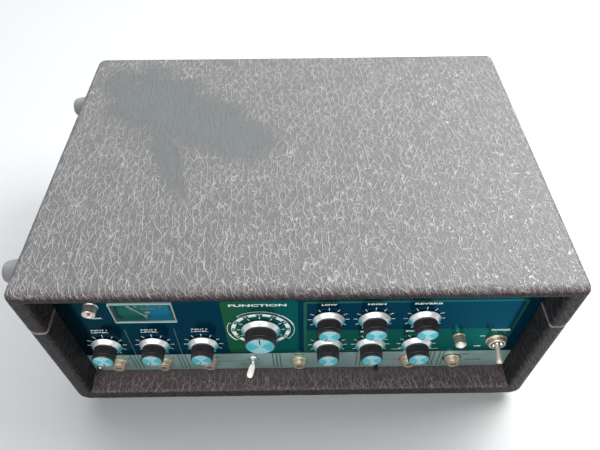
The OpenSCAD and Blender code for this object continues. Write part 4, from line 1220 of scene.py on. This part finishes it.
STOPS = [30 * k - 150 for k in range(12)]
for angle in STOPS:
    ticks.shapes([tick(mode_spot, *MODE_TICK_R, angle, 0.75)], 0.06, 0.14)
    if angle < 180:
        ticks.shapes([band(mode_spot, RING_IN, RING_OUT, angle + 7.5, angle + 22.5)], *LINE_H)
for angle in STOPS:
    for start, end in ((-7.0, -6.0), (6.0, 7.0)):
        ticks.shapes([band(mode_spot, RING_IN, RING_OUT, angle + start, angle + end)], *LINE_H)
    ticks.shapes([band(mode_spot, RING_OUT - 0.45, RING_OUT, angle - 6.0, angle + 6.0)], *LINE_H)
for start, end, width in ((-40, 36, 0.4), (38, 76, 1.1), (76, 124, 0.4), (-104, -66, 0.5), (-128, -104, 1.1)):
    ticks.shapes([band(mode_spot, GROUP_R - width / 2, GROUP_R + width / 2, start, end)], *LINE_H)
for angle in (-66, -40, 36, 124, -128):
    ticks.shapes([tick(mode_spot, GROUP_R - 2.0, GROUP_R + 0.2, angle, 0.6)], *LINE_H)
ticks.make()

words = Print("white_lettering", "white_ink")
for k, angle in enumerate(STOPS):
    upright = 0.0 if abs(angle) < 100 else math.pi
    words.text(str(k + 1), *clock_spot(mode_spot, NUMBER_R, angle), 1.2 if k < 9 else 2.4, 2.2,
               turn=upright - math.radians(angle))
words.text("FUNCTION", mode_spot[0] - 0.5, 138.0, 46.0, 3.4, weight=0.03)
KNOB_WORDS = (          # knob, word, width, height, place from the knob's middle across and up, weight
    ("bass", "LOW", 12.5, 2.4, 0, 22.4, 0.03), ("treble", "HIGH", 14.5, 2.4, 0, 22.4, 0.03),
    ("reverb", "REVERB", 22.0, 2.4, 0, 22.4, 0.03), ("rate", "RATE", 15.5, 2.6, 0, 22.2, 0.03),
    ("intensity", "REPEATS", 20.0, 2.6, 0, 22.2, 0.03), ("echo", "ECHO", 16.0, 2.6, -4, 22.2, 0.03),
    ("mic_1", "INPUT 1", 13.5, 1.8, 0, 25.4, 0.02), ("mic_1", "LEVEL", 14.5, 1.8, 0, 21.9, 0.02),
    ("mic_2", "INPUT 2", 13.5, 1.8, 0, 25.4, 0.02), ("mic_2", "LEVEL", 14.5, 1.8, 0, 21.9, 0.02),
    ("instrument", "INPUT 3", 13.5, 1.8, 0, 25.4, 0.02), ("instrument", "LEVEL", 14.5, 1.8, 0, 21.9, 0.02),
)
for name, label, width, height, across, up, weight in KNOB_WORDS:
    x, z = panel_spot("knob_" + name)
    words.text(label, x + across, z + up, width, height, weight=weight)
for label, x, z, width, height in (("PEAK", peak_at[0] - 1.5, peak_at[2] - 18.5, 10.0, 2.0),
                                   ("POWER", 172.0, 94.0, 16.0, 2.7), ("ON", 158.6, 84.0, 4.6, 1.9),
                                   ("OFF", 158.2, 66.0, 6.2, 1.9)):
    words.text(label, x, z, width, height, weight=0.03)
echo_x = panel_spot("knob_echo")[0]
for x in (echo_x - 14.5, echo_x + 14.5):
    words.shapes([box_loop(x - 6.5, 61.9, x + 6.5, 62.3)], *LINE_H)
words.make()

# Dark lines, coloured rings and labels of the lower strip, and the thin dividers above it
GROUPS = ((-149.3, 3), (-106.6, 3), (-21.0, 3), (54.0, 2), (121.0, 2), (129.6, 2))
strip_lines = Print("strip_lines", "dark_green_ink")
for x, count in GROUPS:
    for k in range(count):
        at = x + 3.4 * (k - (count - 1) / 2)
        strip_lines.shapes([line_loop(at, STRIP_HIGH - 0.4, at + 0.6, strip_low + 2.6, 0.8)], *THIN_H)
for x0, x1 in ((-78.0, -47.5), (75.0, 93.5)):
    strip_lines.shapes([line_loop(x0, JACK_Z - 0.6, x1, JACK_Z - 0.6, 0.6)], *THIN_H)
strip_lines.make()
dividers = Print("panel_dividers", "grey_ink")
for x in (-146.0, -104.6):
    dividers.shapes([line_loop(x, 103.0, x - 0.8, STRIP_HIGH, 0.5)], 0.0, 0.06)
dividers.make()
labels = Print("strip_lettering", "black_ink")
STRIP_WORDS = (
    ("MIX", 0.0, 53.6, 9.0, 1.9), ("OUT", 99.8, 53.6, 8.0, 1.9), ("PEDAL", 150.6, 50.6, 9.5, 1.8),
    ("CANCEL", 160.5, 40.0, 15.0, 1.8), ("HIGH", -42.0, 53.6, 7.0, 1.8), ("LOW", -52.0, 36.5, 6.0, 1.8),
    ("EFFECT", 70.5, 53.6, 11.0, 1.8), ("1", -154.5, 50.5, 1.2, 2.4), ("2", -114.6, 50.5, 1.8, 2.4),
    ("3", -74.8, 50.5, 1.8, 2.4),
)
for word in STRIP_WORDS:
    labels.text(*word, weight=0.02)
labels.make()
for name, material, x in (("green_jack_ring", "bright_green_ink", FRONT_JACKS[3][0]),
                          ("red_jack_ring", "red_ink", FRONT_JACKS[4][0]),
                          ("dark_jack_ring", "black_ink", FRONT_JACKS[5][0])):
    Print(name, material).shapes([circle(r, 56, (x, JACK_Z)) for r in reversed(JACK_RING_R)], *LINE_H).make()

# Meter scale, on the dial behind the window
dial_plane = dial_low.y / MM
needle_at = across_up(joints["needle_swing"])
SCALE_R, SCALE_NUMBER_R = 18.2, 14.2
SCALE_START, RED_START, SCALE_END = -48, 18, 50      # degrees from straight up, clockwise
scale = Print("meter_scale", "soft_white_ink", dial_plane)
scale.shapes([band(needle_at, SCALE_R, SCALE_R + 0.35, SCALE_START, RED_START)], *DIAL_H)
for k in range(8):
    inner_end = SCALE_R - 1.8 + 0.8 * (k % 2)
    scale.shapes([tick(needle_at, inner_end, SCALE_R + 0.2, SCALE_START + 9.4 * k, 0.35)], *DIAL_H)
for k, label in enumerate(("20", "10", "5", "0")):
    scale.text(label, *clock_spot(needle_at, SCALE_NUMBER_R, SCALE_START + 21.5 * k), 1.2 * len(label), 1.7,
               *DIAL_H)
scale.text("dB", needle_at[0] + 1.5, needle_at[1] + 4.2, 4.6, 2.4, *DIAL_H, weight=0.02)
scale.make()
red_zone = Print("meter_red_zone", "red_ink", dial_plane)
red_zone.shapes([band(needle_at, SCALE_R + 0.6, SCALE_R + 2.0, RED_START, SCALE_END)], *DIAL_H)
for k in range(3):
    red_zone.shapes([tick(needle_at, SCALE_R - 1.4, SCALE_R + 0.8, 27 + 10 * k, 0.45)], *DIAL_H)
x, z = needle_at
red_zone.shapes([box_loop(x - 3.0, z + 9.0, x + 8.5, z + 9.9, 0.4)], *DIAL_H)
red_zone.make()

# Plain labels on the back
rear_words = Print("rear_lettering", "soft_white_ink", rear_face, "back")
for word in (("OUTPUTS", 97.5, 63.5, 26.0, 3.2), ("HIGH - LOW", 0.0, 60.0, 22.0, 2.6),
             ("FUSE", -135.0, 107.0, 12.0, 3.0), ("MAINS", -165.0, 65.0, 13.0, 2.8)):
    rear_words.text(*word, 0.0, 0.08, weight=0.02)
rear_words.make()

# ------------------------------------------------------------------ floor, camera and light

floor_mesh = bpy.data.meshes.new("floor")
FLOOR_HALF = 4.0
floor_corners = [(x * FLOOR_HALF, y * FLOOR_HALF, 0.0) for x, y in ((-1, -1), (1, -1), (1, 1), (-1, 1))]
floor_mesh.from_pydata(floor_corners, [], [(0, 1, 2, 3)])
floor_paper = plastic_material("floor_paper", (0.40, 0.41, 0.42), 0.8, 500.0, 0.00002, spread=0.02)
floor_mesh.materials.append(floor_paper)
add_object("floor", floor_mesh)

camera_data = bpy.data.cameras.new("camera")
camera = add_object("camera", camera_data)
bpy.context.scene.camera = camera
camera_data.sensor_width = 36.0
camera_data.lens = 31.87
camera_data.clip_start = 0.01
CAMERA_AT = Vector((0.00108, -0.35073, 0.49625))
CAMERA_DOWN, CAMERA_YAW, CAMERA_ROLL = (math.radians(a) for a in (49.536, 0.195, -0.584))
ahead = Vector((math.sin(CAMERA_YAW) * math.cos(CAMERA_DOWN), math.cos(CAMERA_YAW) * math.cos(CAMERA_DOWN),
                -math.sin(CAMERA_DOWN)))
right = ahead.cross(Vector((0, 0, 1))).normalized()
above = right.cross(ahead)
right, above = (right * math.cos(CAMERA_ROLL) + above * math.sin(CAMERA_ROLL),
                above * math.cos(CAMERA_ROLL) - right * math.sin(CAMERA_ROLL))
camera.matrix_world = Matrix((right, above, -ahead)).transposed().to_4x4()
camera.location = CAMERA_AT

LIGHTS = (              # name, place, width and height, power, colour; all point at the middle of the case
    ("window", (0.0, 1.35, 1.70), (4.6, 2.0), 110.0, (0.97, 0.99, 1.0)),
    ("high_right", (0.56, 0.13, 0.78), (0.5, 0.5), 15.0, (1.0, 0.98, 0.95)),
    ("front_fill", (-0.3, -1.6, 1.7), (2.4, 1.6), 46.0, (1.0, 0.99, 0.97)),
)
CASE_MIDDLE = Vector((0.0, 0.0, 0.12))
for name, place, (width, height), power, colour in LIGHTS:
    data = bpy.data.lights.new(name, "AREA")
    data.shape = "RECTANGLE"
    data.size, data.size_y = width, height
    data.energy = power
    data.color = colour
    made = add_object(name, data)
    made.location = place
    made.rotation_mode = "QUATERNION"
    made.rotation_quaternion = (CASE_MIDDLE - Vector(place)).to_track_quat("-Z", "Y")

world = bpy.data.worlds.new("studio")
bpy.context.scene.world = world
world.use_nodes = True
sky = world.node_tree.nodes["Background"].inputs
sky["Color"].default_value, sky["Strength"].default_value = (0.80, 0.86, 0.90, 1), 0.28
bpy.context.scene.view_settings.view_transform = "Standard"
